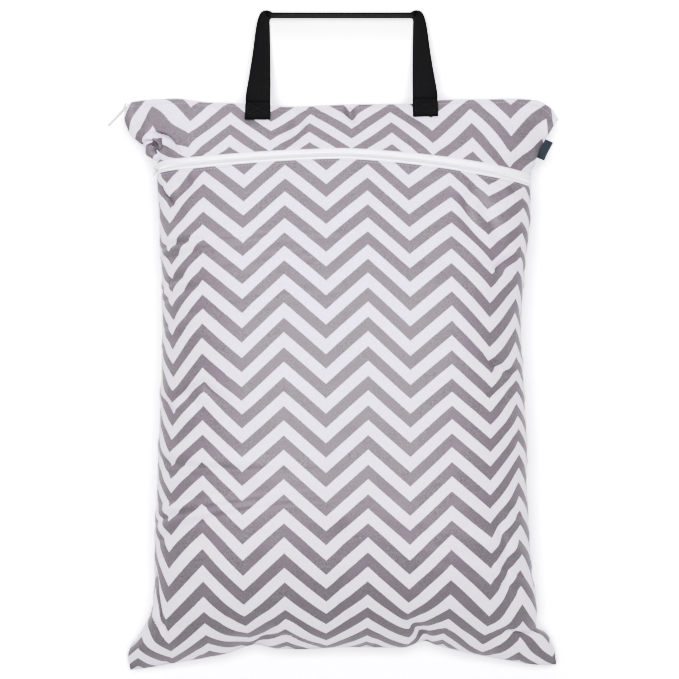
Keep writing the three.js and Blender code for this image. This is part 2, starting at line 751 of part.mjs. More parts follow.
// A slider and its pull on a straight stretch of zip. lean is how far the pull stands off the zip.
function addSlider(name, origin, along, out, lean) {
  const across = out.clone().cross(along).normalize();
  const basis = new THREE.Matrix4().makeBasis(along, across, out).setPosition(origin);
  const body = addMesh(`${name}_slider`, slider(), finishes.metal);
  body.applyMatrix4(basis);
  const tab = addMesh(`${name}_pull`, pull(), finishes.metal);
  tab.applyMatrix4(basis.clone()
    .multiply(new THREE.Matrix4().makeTranslation(0, 0, pinHeight))
    .multiply(new THREE.Matrix4().makeRotationY(-rad(lean))));
}

addMesh('back_panel', panel(backPoint, -1, backStations), finishes.print);
addMesh('front_pocket_panel', panel(frontPoint, 1, pocketStations), finishes.print);
addMesh('front_upper_panel', panel(frontPoint, 1, upperStations), finishes.print);
const flatTape = [tapeProud, tapeProud];
const roundCoil = [tapeProud, tapeProud + coilRise, tapeProud];
addMesh(
  'pocket_zip_lower_tape',
  pocketZipStrip(pocketZipBand.lowerTape, zipSteps, flatTape),
  finishes.tape,
);
addMesh(
  'pocket_zip_upper_tape',
  pocketZipStrip(pocketZipBand.upperTape, zipSteps, flatTape),
  finishes.tape,
);
addMesh(
  'pocket_zip_coil',
  pocketZipStrip(pocketZipBand.coil, coilSteps, roundCoil),
  finishes.coil,
);

const topLine = topZipLine();
const coilShare = coilWidth / 2 / zipHalf;
const tapeShare = (coilWidth / 2 + clearance) / zipHalf;
addMesh('top_zip_front_tape', topZipStrip(topLine, [1, tapeShare]), finishes.tape);
addMesh('top_zip_back_tape', topZipStrip(topLine, [-tapeShare, -1]), finishes.tape);
addMesh(
  'top_zip_coil',
  topZipStrip(topLine.slice(sliderStation + 1), [coilShare, 0, -coilShare], coilRise),
  finishes.coil,
);

const facetStart = topLine[sliderStation];
const facetEnd = topLine[sliderStation + 1];
const topAlongZip = facetStart.point.clone().sub(facetEnd.point).normalize();
const topOut = topAlongZip.clone().cross(vector(0, 0, 1)).normalize();
const topFace = facetStart.point.clone().add(facetEnd.point).multiplyScalar(0.5)
  .addScaledVector(topOut, tapeProud);
addSlider('top_zip', topFace, topAlongZip, topOut, topPullLean);

const pocketFacet = [
  frontPoint(zipSteps[0], pocketZipAt),
  frontPoint(zipSteps[1], pocketZipAt),
];
const pocketAlong = pocketFacet[0].clone().sub(pocketFacet[1]).normalize();
const pocketOut = normalOf(frontPoint, zipSteps[1], pocketZipAt, 1)
  .projectOnPlane(pocketAlong).normalize();
const pocketFace = pocketFacet[0].clone().add(pocketFacet[1]).multiplyScalar(0.5)
  .addScaledVector(pocketOut, tapeProud);
addSlider('pocket_zip', pocketFace, pocketAlong, pocketOut, pocketPullLean);

addMesh('handle_strap', handle(), finishes.webbing);
addMesh('label', label(), finishes.label);

export default group;
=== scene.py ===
"""A stuffed cloth wet bag with a chevron print, lying on its back on a pale floor, in metres.

+X is the bag's right as it is looked at, +Y runs up to the handle and +Z is away from the floor.
"""
import math

import bmesh
import bpy
import numpy as np
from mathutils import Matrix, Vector


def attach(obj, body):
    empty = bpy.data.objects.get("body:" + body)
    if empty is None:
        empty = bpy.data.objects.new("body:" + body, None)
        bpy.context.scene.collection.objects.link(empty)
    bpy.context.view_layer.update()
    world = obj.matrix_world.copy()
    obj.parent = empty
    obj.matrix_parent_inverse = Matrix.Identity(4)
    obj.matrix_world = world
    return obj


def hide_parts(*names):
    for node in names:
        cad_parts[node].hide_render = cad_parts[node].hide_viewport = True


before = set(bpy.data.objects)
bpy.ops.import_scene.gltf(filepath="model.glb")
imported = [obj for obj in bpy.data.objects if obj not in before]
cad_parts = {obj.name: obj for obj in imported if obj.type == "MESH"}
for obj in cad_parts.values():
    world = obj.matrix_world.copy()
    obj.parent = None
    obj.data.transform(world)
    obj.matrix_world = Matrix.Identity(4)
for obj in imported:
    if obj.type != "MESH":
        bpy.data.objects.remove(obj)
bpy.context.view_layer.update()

# Driving dimensions of the stuffed body, as in the frame
BODY_WIDTH = 0.366
BODY_LENGTH = 0.545
BODY_THICKNESS = 0.148
BOTTOM_TO_ORIGIN = 0.3065
HALF = BODY_WIDTH / 2
FABRIC = 0.0012
CLEARANCE = 0.0003

# The zips
TAPE_WIDTH = 0.0043
COIL_WIDTH = 0.0032
TAPE_PROUD = 0.0005
POCKET_ZIP_AT = 0.899
ZIP_HALF = COIL_WIDTH / 2 + CLEARANCE + TAPE_WIDTH

# The webbing handle
WEBBING_WIDTH = 0.025
WEBBING_THICKNESS = 0.0015
HANDLE_REACH = 0.097
HANDLE_SPAN = 0.150
SEWN_LENGTH = 0.018
SEWN_SEAT = 0.0008
SEWN_FORESHORTENING = 0.8
SEWN_TURN = (22, 45, 67, 90, 113, 135, 158)
WEBBING_EDGE = 0.06
WEBBING_CORDS = 15
CORD_TALL = 0.07
SECTIONS_BETWEEN = 5

# The label in the right seam. LABEL_ROUND: radius of its fold; LABEL_PINCH and LABEL_SAG: shares of it
LABEL_LENGTH = 0.020
LABEL_REACH = 0.008
LABEL_AT = 0.955
LABEL_TILT = 20
LABEL_ROUND = 0.0011
LABEL_CLOTH = 0.0004
LABEL_PINCH = 0.25
LABEL_SAG = 0.35
LABEL_STEPS = 10
LABEL_BEND_STEPS = 13

# The camera, straight above. FOCAL_PIXELS is its focal length in pixels of the square picture.
CAMERA_PLACE = (-0.002, 0.002, 1.70)
PICTURE_SIZE = 679
FOCAL_PIXELS = 1640
SENSOR = 36

# The camera's response: light in and light out, from black to white
TONE = (
    (0, 0), (0.05, 0.036), (0.1, 0.113), (0.15, 0.218), (0.22, 0.402), (0.32, 0.58), (0.45, 0.68),
    (0.6, 0.75), (0.8, 0.835), (0.9, 0.92), (1, 1),
)

# The cloth's grids
FINE = 2001
FRONT_COLUMNS = 200
BACK_COLUMNS = 170
POCKET_ROWS = 215
UPPER_ROWS = 92
BACK_ROWS = 190

# How the cloth is creased, and how it settles. SEAM_TAUT: from where to where the side gathers rise;
# DRAWN_REACH: how far a crease draws the cloth; SPARE_CLOTH: the share that it is cut too large at the
# seams; HELD_RIM and HELD_ZIP: how far from the seams and the pocket zip's line it is held
MIDDLE_ROW = 0.45
CREASE_STEPS = 28
CREASE_ENDS = 0.12
CREASE_TURN = 2
SEAM_TAUT = (0.015, 0.06)
DRAWN_REACH = 0.022
SETTLE_ROWS = 118
SETTLE_COLUMNS = 88
SETTLE_STEPS = 32
SETTLE_CAP = 0.007
SPARE_CLOTH = 0.11
SPARE_REACH = 0.06
SPARE_AT_ENDS = 0.5
HELD_RIM = 0.002
HELD_ZIP = 0.0075
SETTLING = {
    "quality": 6,
    "mass": 0.2,
    "tension_stiffness": 20,
    "compression_stiffness": 20,
    "shear_stiffness": 8,
    "bending_stiffness": 0.2,
    "vertex_group_mass": "held",
    "pin_stiffness": 1,
    "vertex_group_shrink": "spare",
    "shrink_min": 0,
    "shrink_max": -SPARE_CLOTH,
    "use_pressure": True,
    "uniform_pressure_force": 2.0,
}

# Stitches, the zips' tapes and their coils. COIL_SHIFT: how far the pocket coil lies above its line, which
# begins and is full at SHIFT_FROM; UPPER_TAPE and LOWER_TAPE: widths that show; TUCK: cloth under them
STITCH_PITCH = 0.0034
STITCH_LENGTH = 0.0027
STITCH_WIDE = 0.0004
STITCH_TALL = 0.0003
EDGE_STITCH = 0.0045
BOX_INSET = 0.0028
BOX_PITCH = 0.0024
BOX_STITCH = (0.8 * BOX_PITCH, 0.0007, 0.0006)
BOX_POINTS = 12
COIL_PITCH = 0.0011
COIL_TALL = 0.0011
COIL_SEAT = 0.0002
COIL_SHIFT = -0.0012
SHIFT_FROM = (-0.93, -0.75)
UPPER_TAPE = 0.0055
LOWER_TAPE = 0.0030
TUCK = 0.0012
COIL_APART = 0.2
COIL_TURN = (0.56 * COIL_WIDTH, 0.74 * COIL_PITCH, COIL_TALL)
COIL_FROM, COIL_TO = -1.40, 1.5
COIL_STEPS = 1600
COIL_OUTLINE = ((-1, 0), (-0.88, 0.75), (-0.45, 1), (0.45, 1), (0.88, 0.75), (1, 0))
STITCH_OUTLINE = ((-1, 0), (-0.9, 0.5), (-0.6, 0.9), (0, 1), (0.6, 0.9), (0.9, 0.5), (1, 0))
BEAD_SIDES = 6
TAPE_MARGIN = 2
STITCH_MARGIN = 4
EDGE_MARGIN = 8
TAPE_CLOTH = 0.0007
TOP_STEPS = 420
TURN_STEPS = 14
ZIP_STITCH_LOW = 0.0022
ZIP_STITCH_HIGH = 0.0011
STITCH_SUNK = 0.2
RIM_ROUND = 0.00025

# A tape's section, from under the coil outwards. coil and tape: the place, as shares of the coil's and of
# the tape's width; share: the place, as a share of half of the top zip's height; raised: its height
TAPE_DIP = -0.0008
TAPE_HEM = TAPE_PROUD - 0.0003
POCKET_TAPE_COLUMNS = ("coil", "tape", "raised")
POCKET_TAPE = (
    (0.0625, 0, TAPE_DIP), (0.42, 0, TAPE_DIP), (0.56, 0, 0.0001),
    (0.62, 0.1, TAPE_PROUD), (0.5, 0.92, TAPE_PROUD), (0.5, 1, TAPE_HEM),
)
TOP_TAPE_COLUMNS = ("share", "raised")
TOP_TAPE = (
    (0.05, TAPE_DIP), (0.26, TAPE_DIP), (0.34, 0),
    (0.42, TAPE_PROUD), (0.93, TAPE_PROUD), (1, TAPE_HEM),
)
SLIDER_END = -0.9749

# The print: a zigzag whose bands are as wide as the gaps. A peak is where a band points up. Below
# SAG_KNEE the rows lie further apart by 1 / SAG_EASE. The flat sizes and cuts are those of the cloth.
PRINT_PERIOD = 0.0281
PRINT_WAVE = 0.080
PRINT_HEIGHT = 0.036
POCKET_PEAK = 0.0252
POCKET_BAND = 0.0046
UPPER_PERIOD = 0.0263
UPPER_PEAK = -0.0305
UPPER_BAND = 0.5768
SAG_KNEE = 0.16
SAG_EASE = 0.925

# at: share of the length on the centre line; along: where the seam lies there, as a share of
# BODY_LENGTH; out: distance from the middle, as a share of HALF; seam: height, as a share of
# BODY_THICKNESS.
SIDE_COLUMNS = ("at", "along", "out", "seam")
LEFT_SIDE = (
    (0, -0.054, 1.18, 0.15),
    (0.02, -0.025, 1.19, 0.18),
    (0.05, 0.009, 1.135, 0.25),
    (0.085, 0.051, 1.06, 0.33),
    (0.12, 0.088, 1.025, 0.38),
    (0.22, 0.198, 1.014, 0.42),
    (0.4, 0.382, 0.992, 0.43),
    (0.59, 0.584, 0.975, 0.43),
    (0.78, 0.767, 0.986, 0.43),
    (0.885, 0.862, 1.005, 0.42),
    (0.905, 0.883, 1.0, 0.41),
    (0.925, 0.901, 1.035, 0.39),
    (0.945, 0.925, 1.096, 0.36),
    (0.965, 0.947, 1.165, 0.33),
    (0.984, 0.974, 1.191, 0.315),
    (1, 0.994, 1.178, 0.318),
)
RIGHT_SIDE = (
    (0, -0.044, 1.2, 0.15),
    (0.02, -0.011, 1.18, 0.18),
    (0.04, 0.02, 1.13, 0.22),
    (0.055, 0.033, 1.072, 0.28),
    (0.09, 0.066, 1.074, 0.34),
    (0.15, 0.134, 1.041, 0.4),
    (0.27, 0.253, 1.014, 0.42),
    (0.41, 0.4, 1.003, 0.43),
    (0.58, 0.574, 0.978, 0.43),
    (0.72, 0.712, 1.003, 0.43),
    (0.83, 0.8, 1.03, 0.42),
    (0.89, 0.845, 1.032, 0.41),
    (0.91, 0.867, 1.034, 0.4),
    (0.935, 0.894, 1.06, 0.37),
    (0.965, 0.932, 1.115, 0.33),
    (1, 0.972, 1.187, 0.318),
)

# front: how far the front wall has risen from the seams to its highest point; back: how far the back
# wall has sunk, where 1 is the floor; seam: the height that the walls spread from.
CENTRE_COLUMNS = ("at", "front", "back", "seam")
CENTRE_LINE = (
    (0, 0, 0, 0.34),
    (0.01, 0.13, 0.22, 0.345),
    (0.0275, 0.29, 0.5, 0.355),
    (0.064, 0.5, 0.85, 0.37),
    (0.119, 0.72, 1.25, 0.39),
    (0.183, 0.87, 1.5, 0.4),
    (0.25, 0.95, 1.6, 0.42),
    (0.45, 1, 1.6, 0.42),
    (0.6, 0.97, 1.6, 0.42),
    (0.694, 0.875, 1.5, 0.41),
    (0.767, 0.74, 1.35, 0.4),
    (0.85, 0.57, 1.1, 0.39),
    (0.9, 0.46, 0.9, 0.385),
    (0.95, 0.22, 0.6, 0.38),
    (1, 0, 0, 0.38),
)

# The ends seen from above. The bottom edge and its tips reach up to 8 mm further than the frame's.
END_COLUMNS = ("across", "along")
BOTTOM_EDGE = (
    (-1, -0.054), (-0.93, -0.049), (-0.76, -0.034), (-0.55, -0.017), (-0.395, 0.002),
    (-0.3, -0.005), (-0.19, -0.006), (0.02, -0.002), (0.28, -0.003), (0.385, 0.009),
    (0.42, 0.003), (0.57, -0.013), (0.76, -0.03), (0.93, -0.043), (1, -0.044),
)
TOP_EDGE = (
    (-1, 0.994), (-0.976, 1.003), (-0.87, 1.007), (-0.77, 1.008), (-0.63, 1.001),
    (-0.45, 0.998), (-0.24, 0.992), (0.02, 0.996), (0.32, 0.998), (0.46, 1.005),
    (0.63, 1.006), (0.8, 1.008), (0.89, 1.006), (0.96, 0.994), (1, 0.972),
)

# Folds and dents of the frame's front wall. x and y: middle, as shares of HALF and BODY_LENGTH; long
# and wide: half sizes, as shares of BODY_WIDTH; deep: share of BODY_THICKNESS; turn: degrees from +X.
FOLD_COLUMNS = ("x", "y", "long", "wide", "deep", "turn")
FRONT_FOLDS = (
    (-0.872, 0.837, 0.06, 0.026, 0.045, 31),
    (-0.8, 0.462, 0.075, 0.024, 0.022, -40),
    (0.79, 0.774, 0.11, 0.03, 0.045, -69),
    (0.85, 0.5, 0.08, 0.024, 0.03, -62),
    (0.866, 0.18, 0.14, 0.028, 0.025, -80),
    (0.06, 0.984, 0.04, 0.024, 0.03, 88),
    (-0.24, 0.946, 0.055, 0.026, 0.022, -70),
    (-0.32, 0.018, 0.075, 0.022, 0.035, -25),
    (0.45, 0.03, 0.07, 0.022, 0.04, 60),
    (-1, 0.921, 0.055, 0.02, 0.09, -14),
    (1, 0.893, 0.05, 0.022, 0.07, 20),
)

# Creases of the front, seen from above: each bends from a first place past a second to a third.
# deep: how far it sinks in, or stands out if below 0; wide: half its width; hidden: how much cloth lies in
# it; all in metres. lip: how much steeper its left side is, looking from the first place to the third.
CREASE_COLUMNS = ("x0", "y0", "x1", "y1", "x2", "y2", "deep", "wide", "lip", "hidden")
CREASES = (
    (-0.201, 0.196, -0.192, 0.2, -0.183, 0.194, 0.009, 0.0026, 1.8, 0.0065),
    (-0.189, 0.208, -0.182, 0.203, -0.18, 0.192, 0.009, 0.003, 1.6, 0.004),
    (-0.186, 0.207, -0.173, 0.203, -0.16, 0.187, 0.008, 0.0026, 2, 0.0075),
    (-0.189, 0.194, -0.186, 0.188, -0.183, 0.178, 0.007, 0.0022, 1.2, 0.004),
    (-0.177, 0.199, -0.169, 0.193, -0.163, 0.181, -0.003, 0.0045, 1, 0),
    (-0.193, 0.221, -0.196, 0.209, -0.191, 0.198, -0.0022, 0.0045, 1, 0),
    (-0.196, 0.191, -0.192, 0.188, -0.187, 0.183, -0.0025, 0.004, 1, 0),
    (-0.179, 0.157, -0.176, 0.147, -0.166, 0.135, 0.005, 0.003, 1.5, 0.005),
    (-0.143, 0.155, -0.155, 0.147, -0.168, 0.139, 0.003, 0.006, 1.2, 0.004),
    (-0.159, -0.06, -0.145, -0.045, -0.132, -0.039, 0.004, 0.004, 1.6, 0.005),
    (-0.131, -0.038, -0.124, -0.048, -0.106, -0.057, 0.003, 0.005, 1.3, 0.004),
    (-0.176, -0.055, -0.169, -0.063, -0.162, -0.071, 0.003, 0.003, 1.4, 0.004),
    (0.128, 0.147, 0.124, 0.12, 0.152, 0.075, 0.0035, 0.007, 1.3, 0.004),
    (0.15, 0.063, 0.155, 0.075, 0.169, 0.083, 0.0035, 0.004, 1.5, 0.005),
    (0.139, -0.014, 0.153, -0.026, 0.168, -0.03, 0.004, 0.004, 1.6, 0.005),
    (0.14, -0.054, 0.154, -0.046, 0.169, -0.037, 0.003, 0.004, 1.3, 0.004),
    (0.148, -0.161, 0.159, -0.2, 0.163, -0.247, 0.003, 0.006, 1.3, 0.004),
    (0.161, -0.285, 0.179, -0.292, 0.195, -0.294, 0.005, 0.0045, 1.5, 0.006),
    (-0.194, -0.276, -0.185, -0.279, -0.174, -0.287, 0.003, 0.0024, 1.4, 0.003),
    (-0.084, -0.305, -0.079, -0.295, -0.065, -0.282, 0.004, 0.005, 1.4, 0.006),
    (0.084, -0.303, 0.078, -0.289, 0.065, -0.274, 0.004, 0.005, 1.4, 0.006),
    (0.009, 0.238, 0.009, 0.227, 0.016, 0.214, 0.0035, 0.004, 1.3, 0.003),
    (0.003, 0.238, 0.006, 0.234, 0.011, 0.23, 0.0015, 0.0014, 1.5, 0.001),
    (-0.034, 0.227, -0.043, 0.211, -0.052, 0.19, 0.0025, 0.006, 1.2, 0.003),
    (-0.185, -0.223, -0.181, -0.258, -0.175, -0.292, 0.004, 0.003, 1.4, 0.006),
    (-0.079, -0.304, -0.057, -0.292, -0.03, -0.303, 0.003, 0.003, 1.3, 0.003),
    (-0.061, -0.27, -0.044, -0.274, -0.03, -0.284, 0.002, 0.004, 1.2, 0.003),
)

# How far the print's rows lie down the cloth at the sides, in metres, where across is SLID_ACROSS
SLID_ACROSS = 0.775
SLIDE_COLUMNS = ("at", "slid")
PRINT_SLIDE = (
    (0, 0), (0.07, -0.004), (0.13, -0.0085), (0.25, -0.0115), (0.35, -0.0095), (0.45, -0.003),
    (0.5, 0.002), (0.56, 0.005), (0.7, 0.005), (0.8, 0.002), (0.85, -0.001), (1, -0.001),
)

# EAR_SLIDE: how far the print's rows lie down the cloth on the left ear, in metres; EAR_ACROSS and EAR_AT:
# where that slide begins and is full; EAR_CROWD: how far the upper wall's columns crowd towards that ear
EAR_CROWD = 0.07
EAR_SLIDE = 0.0105
EAR_ACROSS = (0.74, 0.93)
EAR_AT = (0.905, 0.93)

# The handle's legs. reach: share of HANDLE_REACH from the top seam; inner: the inner edge's place, as
# a share of half of HANDLE_SPAN; drop: its height, as a share of the height at the seam; lean: degrees
# that the outer edge has turned up; head: degrees that the leg has turned towards the other.
LEG_COLUMNS = ("reach", "inner", "drop", "lean", "head")
HANDLE_LEG = (
    (0.03, 0.945, 1, 3, 0),
    (0.12, 0.948, 0.86, 16, 0),
    (0.25, 0.955, 0.64, 28, 0),
    (0.42, 0.965, 0.4, 39, 1),
    (0.6, 0.975, 0.2, 48, 4),
    (0.76, 0.985, 0.08, 55, 8),
    (0.89, 0.992, 0.02, 62, 14),
    (0.965, 0.995, 0, 70, 28),
    (0.99, 0.985, 0, 80, 55),
    (1, 0.95, 0, 88, 82),
    (1, 0.86, 0, 90, 90),
)

# Gathers: puckers that start at a seam or a zip and die away from it, in metres
GATHER_COLUMNS = ("start", "height", "reach", "pitch", "seed")
FRONT_GATHERS = (
    ("left", 0.0095, 0.11, 0.015, 20),
    ("right", 0.0095, 0.1, 0.0165, 30),
    ("sides", 0.0012, 0.04, 0.0065, 40),
    ("bottom", 0.0036, 0.05, 0.0165, 50),
    ("top", 0.0016, 0.022, 0.012, 60),
    ("under_zip", 0.0018, 0.02, 0.011, 70),
    ("over_zip", 0.0011, 0.014, 0.01, 80),
)
BACK_GATHERS = (
    ("sides", 0.005, 0.06, 0.015, 120),
    ("bottom", 0.003, 0.04, 0.015, 150),
    ("top", 0.0012, 0.018, 0.01, 160),
)
SWELL_COLUMNS = ("height", "pitch", "seed")
FRONT_SWELLS = ((0.0013, 0.085, 11), (0.0006, 0.034, 12))
BACK_SWELLS = ((0.0012, 0.07, 111),)
SWELL_WAVES = 7
SWELL_SPREAD = (0.7, 1.5)
LATTICE = 512
LATTICE_SHIFT = 100
NORMAL_STEP = 4e-4
JOIN_DISTANCE = 1e-7

# How gathers vary: their slant, the level that counts as flat, their middle length as a share of the
# reach, and the pitches of the slant and the length, as multiples of their own
GATHER_SLANT = 0.35
GATHER_LEVEL = 0.4
MIDDLE_REACH = 0.55
SLANT_PITCH = 4
REACH_PITCH = 2.3
GATHER_START = 0.004

# The cloth is calm along its rims, and near the pocket zip down to a share of its relief
CALM_SIDE = 0.006
CALM_TOP = 0.005
CALM_BOTTOM = 0.004
CALM_ZIP = 0.006
LEFT_AT_ZIP = 0.25
LEFT_AT_SEAM = 0.15

# Shape of the walls between the seams, as in the frame
ZIP_TURN = (0.968, 0.976, 0.984, 0.99)
ZIP_END_HALF = 0.001
ZIP_EASE_START = 0.8
EASE_TO_SIDES = 8
BOXINESS = 4
BOW_OF_ROWS = 1.5
SEAM_BLEND = 3
END_FADE = 0.11
FOLD_FADE = 0.02
FOLD_TO_SIDES = 8
DEEPEST_FOLD = 0.5

# Surfaces. dark and light: their grain's sRGB colours, from 0 to 255; grain: the noise between the two, by
# scale, detail and roughness; dull: the least and the most roughness; bump: distance and strength
SURFACE_COLUMNS = ("dark", "light", "grain", "dull", "sheen", "specular", "bump")
SURFACES = {
    "zip_tape_cloth": (
        (238, 236, 244), (252, 251, 255), (1400, 3, 0.6), (0.6, 0.75), 0.1, 0.5, (0.0001, 0.6),
    ),
    "zip_coil_nylon": (
        (242, 241, 246), (253, 253, 255), (300, 3, 0.6), (0.35, 0.47), 0, 0.5, (0.0001, 0.3),
    ),
    "zip_metal_enamel": (
        (222, 222, 226), (240, 240, 243), (500, 4, 0.6), (0.25, 0.4), 0, 0.5, (0.00005, 0.3),
    ),
    "webbing_cloth": (
        (14, 14, 16), (36, 36, 39), (1200, 3, 0.7), (0.6, 0.75), 0.01, 0.15, (0.00012, 0.7),
    ),
    "label_satin": (
        (26, 38, 46), (52, 68, 80), (1500, 3, 0.7), (0.42, 0.58), 0.2, 0.5, (0.0001, 0.6),
    ),
    "thread_pale": (
        (142, 138, 144), (180, 176, 184), (2500, 3, 0.7), (0.6, 0.6), 0, 0.5, (0.0001, 0.5),
    ),
    "thread_black": (
        (14, 14, 15), (44, 44, 46), (2500, 3, 0.7), (0.6, 0.6), 0, 0.5, (0.0001, 0.5),
    ),
}
GRAIN_SPAN = (0.3, 0.7)
# The zip metal's colour turns towards this grey where its surface is sharpest
RIM_GREY_ENAMEL = (176, 176, 182)
RIM_GREY_SPAN = (0.52, 0.6)
RIM_GREY_SHARE = 0.5
# Painted shade on the webbing: its colour turns towards a near-black at both edges, where the strap turns
# away from the light
EDGE_SHADE_SPAN = (0.0085, 0.0125)
EDGE_SHADE_SHARE = 0.6
TAPE_RIB = 0.0009
TAPE_HERRING = 0.0012
CORD_PITCH = 0.0016
CORD_BUMP = 2.0
CROSS_PITCH = 0.0011
SATIN_PITCH = 0.0005
NYLON_NOISE = (900, 2)
ENAMEL_NOISE = (1200, 2)
SATIN_NOISE = (600, 2)
THREAD_TWIST = {"Scale": 900.0, "Distortion": 1.0}
# The near-black of the webbing's painted edge shade
WEBBING_EDGE_SHADE = (9, 9, 10)

# The print's inks: the colours of their grain and of the clouds in them, and the clouds' share
INK_COLUMNS = ("dark", "light", "cloud", "clouded")
GREY_INK = ((92, 88, 92), (138, 134, 138), (120, 114, 120), 1.0)
WHITE_INK = ((203, 198, 214), (238, 234, 249), (216, 208, 226), 0.5)
PRINT_GRAIN = (620, 5, 0.8)
PRINT_CLOUDS = (45, 4, 0.7)
CLOUD_SPAN = (0.35, 0.65)
PRINT_DULL = (0.5, 0.6)
INK_RAGGED = 0.0012
INK_EDGE = 0.012
RAGGED_NOISE = (900, 2)
WEAVE_PITCH = 0.0006
WEAVE_BUMP = (0.00012, 0.6)
CREPE_NOISE = (420, 4, 0.6)
CREPE_BUMP = (0.0005, 0.5)
PRINT_SHEEN = 0.02
PRINT_SPECULAR = 0.4

# The room
FLOOR_SIZE = 6.0
FLOOR_GLOW = 0.18
FLOOR_SHADES = ((250, 250, 251), (253, 253, 254))
FLOOR_NOISE = (300, 2)
FLOOR_BUMP = (0.00002, 0.2)
FLOOR_DULL = 0.9
SKY_COLOUR = (0.98, 0.985, 1.0, 1)
SKY_LIGHT = 0.22
LAMP_COLUMNS = ("name", "place", "target", "wide", "power")
LAMPS = (
    ("overhead", (0.0, 0.12, 2.6), (0, 0.05, 0.1), 1.2, 45),
    ("key", (-0.4, 1.7, 1.1), (0, 0, 0.05), 0.9, 7),
)


def curve(rows, columns, value):
    """A smooth curve through a table, by its first column, that never overshoots the rows."""
    k = np.array([row[0] for row in rows], float)
    v = np.array([row[columns.index(value)] for row in rows], float)
    slope = np.diff(v) / np.diff(k)
    before, after = slope[:-1], slope[1:]
    total = np.where(before + after == 0, 1, before + after)
    inner = np.where(before * after > 0, 2 * before * after / total, 0)
    tangent = np.concatenate([slope[:1], inner, slope[-1:]])

    def read(q):
        q = np.asarray(q, float)
        i = np.clip(np.searchsorted(k, q, side="right") - 1, 0, len(k) - 2)
        width = k[i + 1] - k[i]
        f = np.clip((q - k[i]) / width, 0, 1)
        g = 1 - f
        level = v[i] * g * g * (1 + 2 * f) + v[i + 1] * f * f * (1 + 2 * g)
        return level + width * f * g * (tangent[i] * g - tangent[i + 1] * f)

    return read


def smooth(x, low, high):
    f = np.clip((np.asarray(x, float) - low) / (high - low), 0, 1)
    return f * f * (3 - 2 * f)


LEFT, RIGHT = (
    {name: curve(rows, SIDE_COLUMNS, name) for name in SIDE_COLUMNS[1:]}
    for rows in (LEFT_SIDE, RIGHT_SIDE)
)
CENTRE = {name: curve(CENTRE_LINE, CENTRE_COLUMNS, name) for name in CENTRE_COLUMNS[1:]}
print_slide = curve(PRINT_SLIDE, SLIDE_COLUMNS, "slid")
bottom_along = curve(BOTTOM_EDGE, END_COLUMNS, "along")
top_along = curve(TOP_EDGE, END_COLUMNS, "along")


def of_side(name, across, at):
    return np.where(across < 0, LEFT[name](at), RIGHT[name](at))


def plan(across, at):
    """The place, seen from above, of a share across of the half width and at of the length."""
    bow = np.abs(across) ** BOW_OF_ROWS

    def line(t):
        return t + (of_side("along", across, t) - t) * bow

    near_bottom = 1 - smooth(at, 0, END_FADE)
    near_top = smooth(at, 1 - END_FADE, 1)
    along = line(at)
    along = along + near_bottom * (bottom_along(across) - line(np.zeros_like(at)))
    along = along + near_top * (top_along(across) - line(np.ones_like(at)))
    return across * HALF * of_side("out", across, at), along * BODY_LENGTH - BOTTOM_TO_ORIGIN


def seam_height(across, at):
    share = np.abs(across) ** SEAM_BLEND
    return BODY_THICKNESS * (of_side("seam", across, at) * share + CENTRE["seam"](at) * (1 - share))


def edge_half(at):
    """Half of the gap between the walls' edges at the side seams."""
    full = ZIP_HALF + CLEARANCE
    share = smooth(at, ZIP_TURN[0], ZIP_TURN[2])
    return np.where(at < ZIP_TURN[0], CLEARANCE / 2, ZIP_END_HALF + (full - ZIP_END_HALF) * share)


def ease_to_zip(across, at):
    near_side = np.abs(across) ** EASE_TO_SIDES
    full = ZIP_HALF + CLEARANCE
    inside = full * smooth(at, ZIP_EASE_START, 1) + CLEARANCE / 2
    return edge_half(at) * near_side + np.minimum(inside, full) * (1 - near_side)


def roundness(across):
    return np.sqrt(np.maximum(0, 1 - np.abs(across) ** BOXINESS))


def fold_depth(x, y, across, at):
    fade = smooth(1 - at, 0, FOLD_FADE) * smooth(at, 0, FOLD_FADE)
    edge = (1 - np.abs(across) ** FOLD_TO_SIDES) * fade
    total = np.zeros_like(x)
    for row in FRONT_FOLDS:
        fold = dict(zip(FOLD_COLUMNS, row))
        dx = x - fold["x"] * HALF
        dy = y - (fold["y"] * BODY_LENGTH - BOTTOM_TO_ORIGIN)
        c, s = math.cos(math.radians(fold["turn"])), math.sin(math.radians(fold["turn"]))
        along = (dx * c + dy * s) / (fold["long"] * BODY_WIDTH)
        aside = (dy * c - dx * s) / (fold["wide"] * BODY_WIDTH)
        total += edge * fold["deep"] * BODY_THICKNESS * np.exp(-along**2 - aside**2)
    return total


def shares(across, at):
    across, at = np.broadcast_arrays(np.asarray(across, float), np.asarray(at, float))
    return across, at


def front_point(across, at):
    across, at = shares(across, at)
    x, y = plan(across, at)
    rise = BODY_THICKNESS * (1 - CENTRE["seam"](at)) * CENTRE["front"](at)
    lift = ease_to_zip(across, at) + rise * roundness(across)
    dent = np.minimum(fold_depth(x, y, across, at), DEEPEST_FOLD * lift)
    return np.stack([x, y, seam_height(across, at) + lift - dent], -1)


def back_point(across, at):
    across, at = shares(across, at)
    x, y = plan(across, at)
    base = seam_height(across, at) - ease_to_zip(across, at)
    sink = np.minimum(1, CENTRE["back"](at) * roundness(across))
    return np.stack([x, y, base * (1 - sink)], -1)


# Meshes and materials

def unit(v):
    return v / np.maximum(np.linalg.norm(v, axis=-1, keepdims=True), 1e-12)


def scene_object(name, data):
    obj = bpy.data.objects.new(name, data)
    bpy.context.scene.collection.objects.link(obj)
    return obj


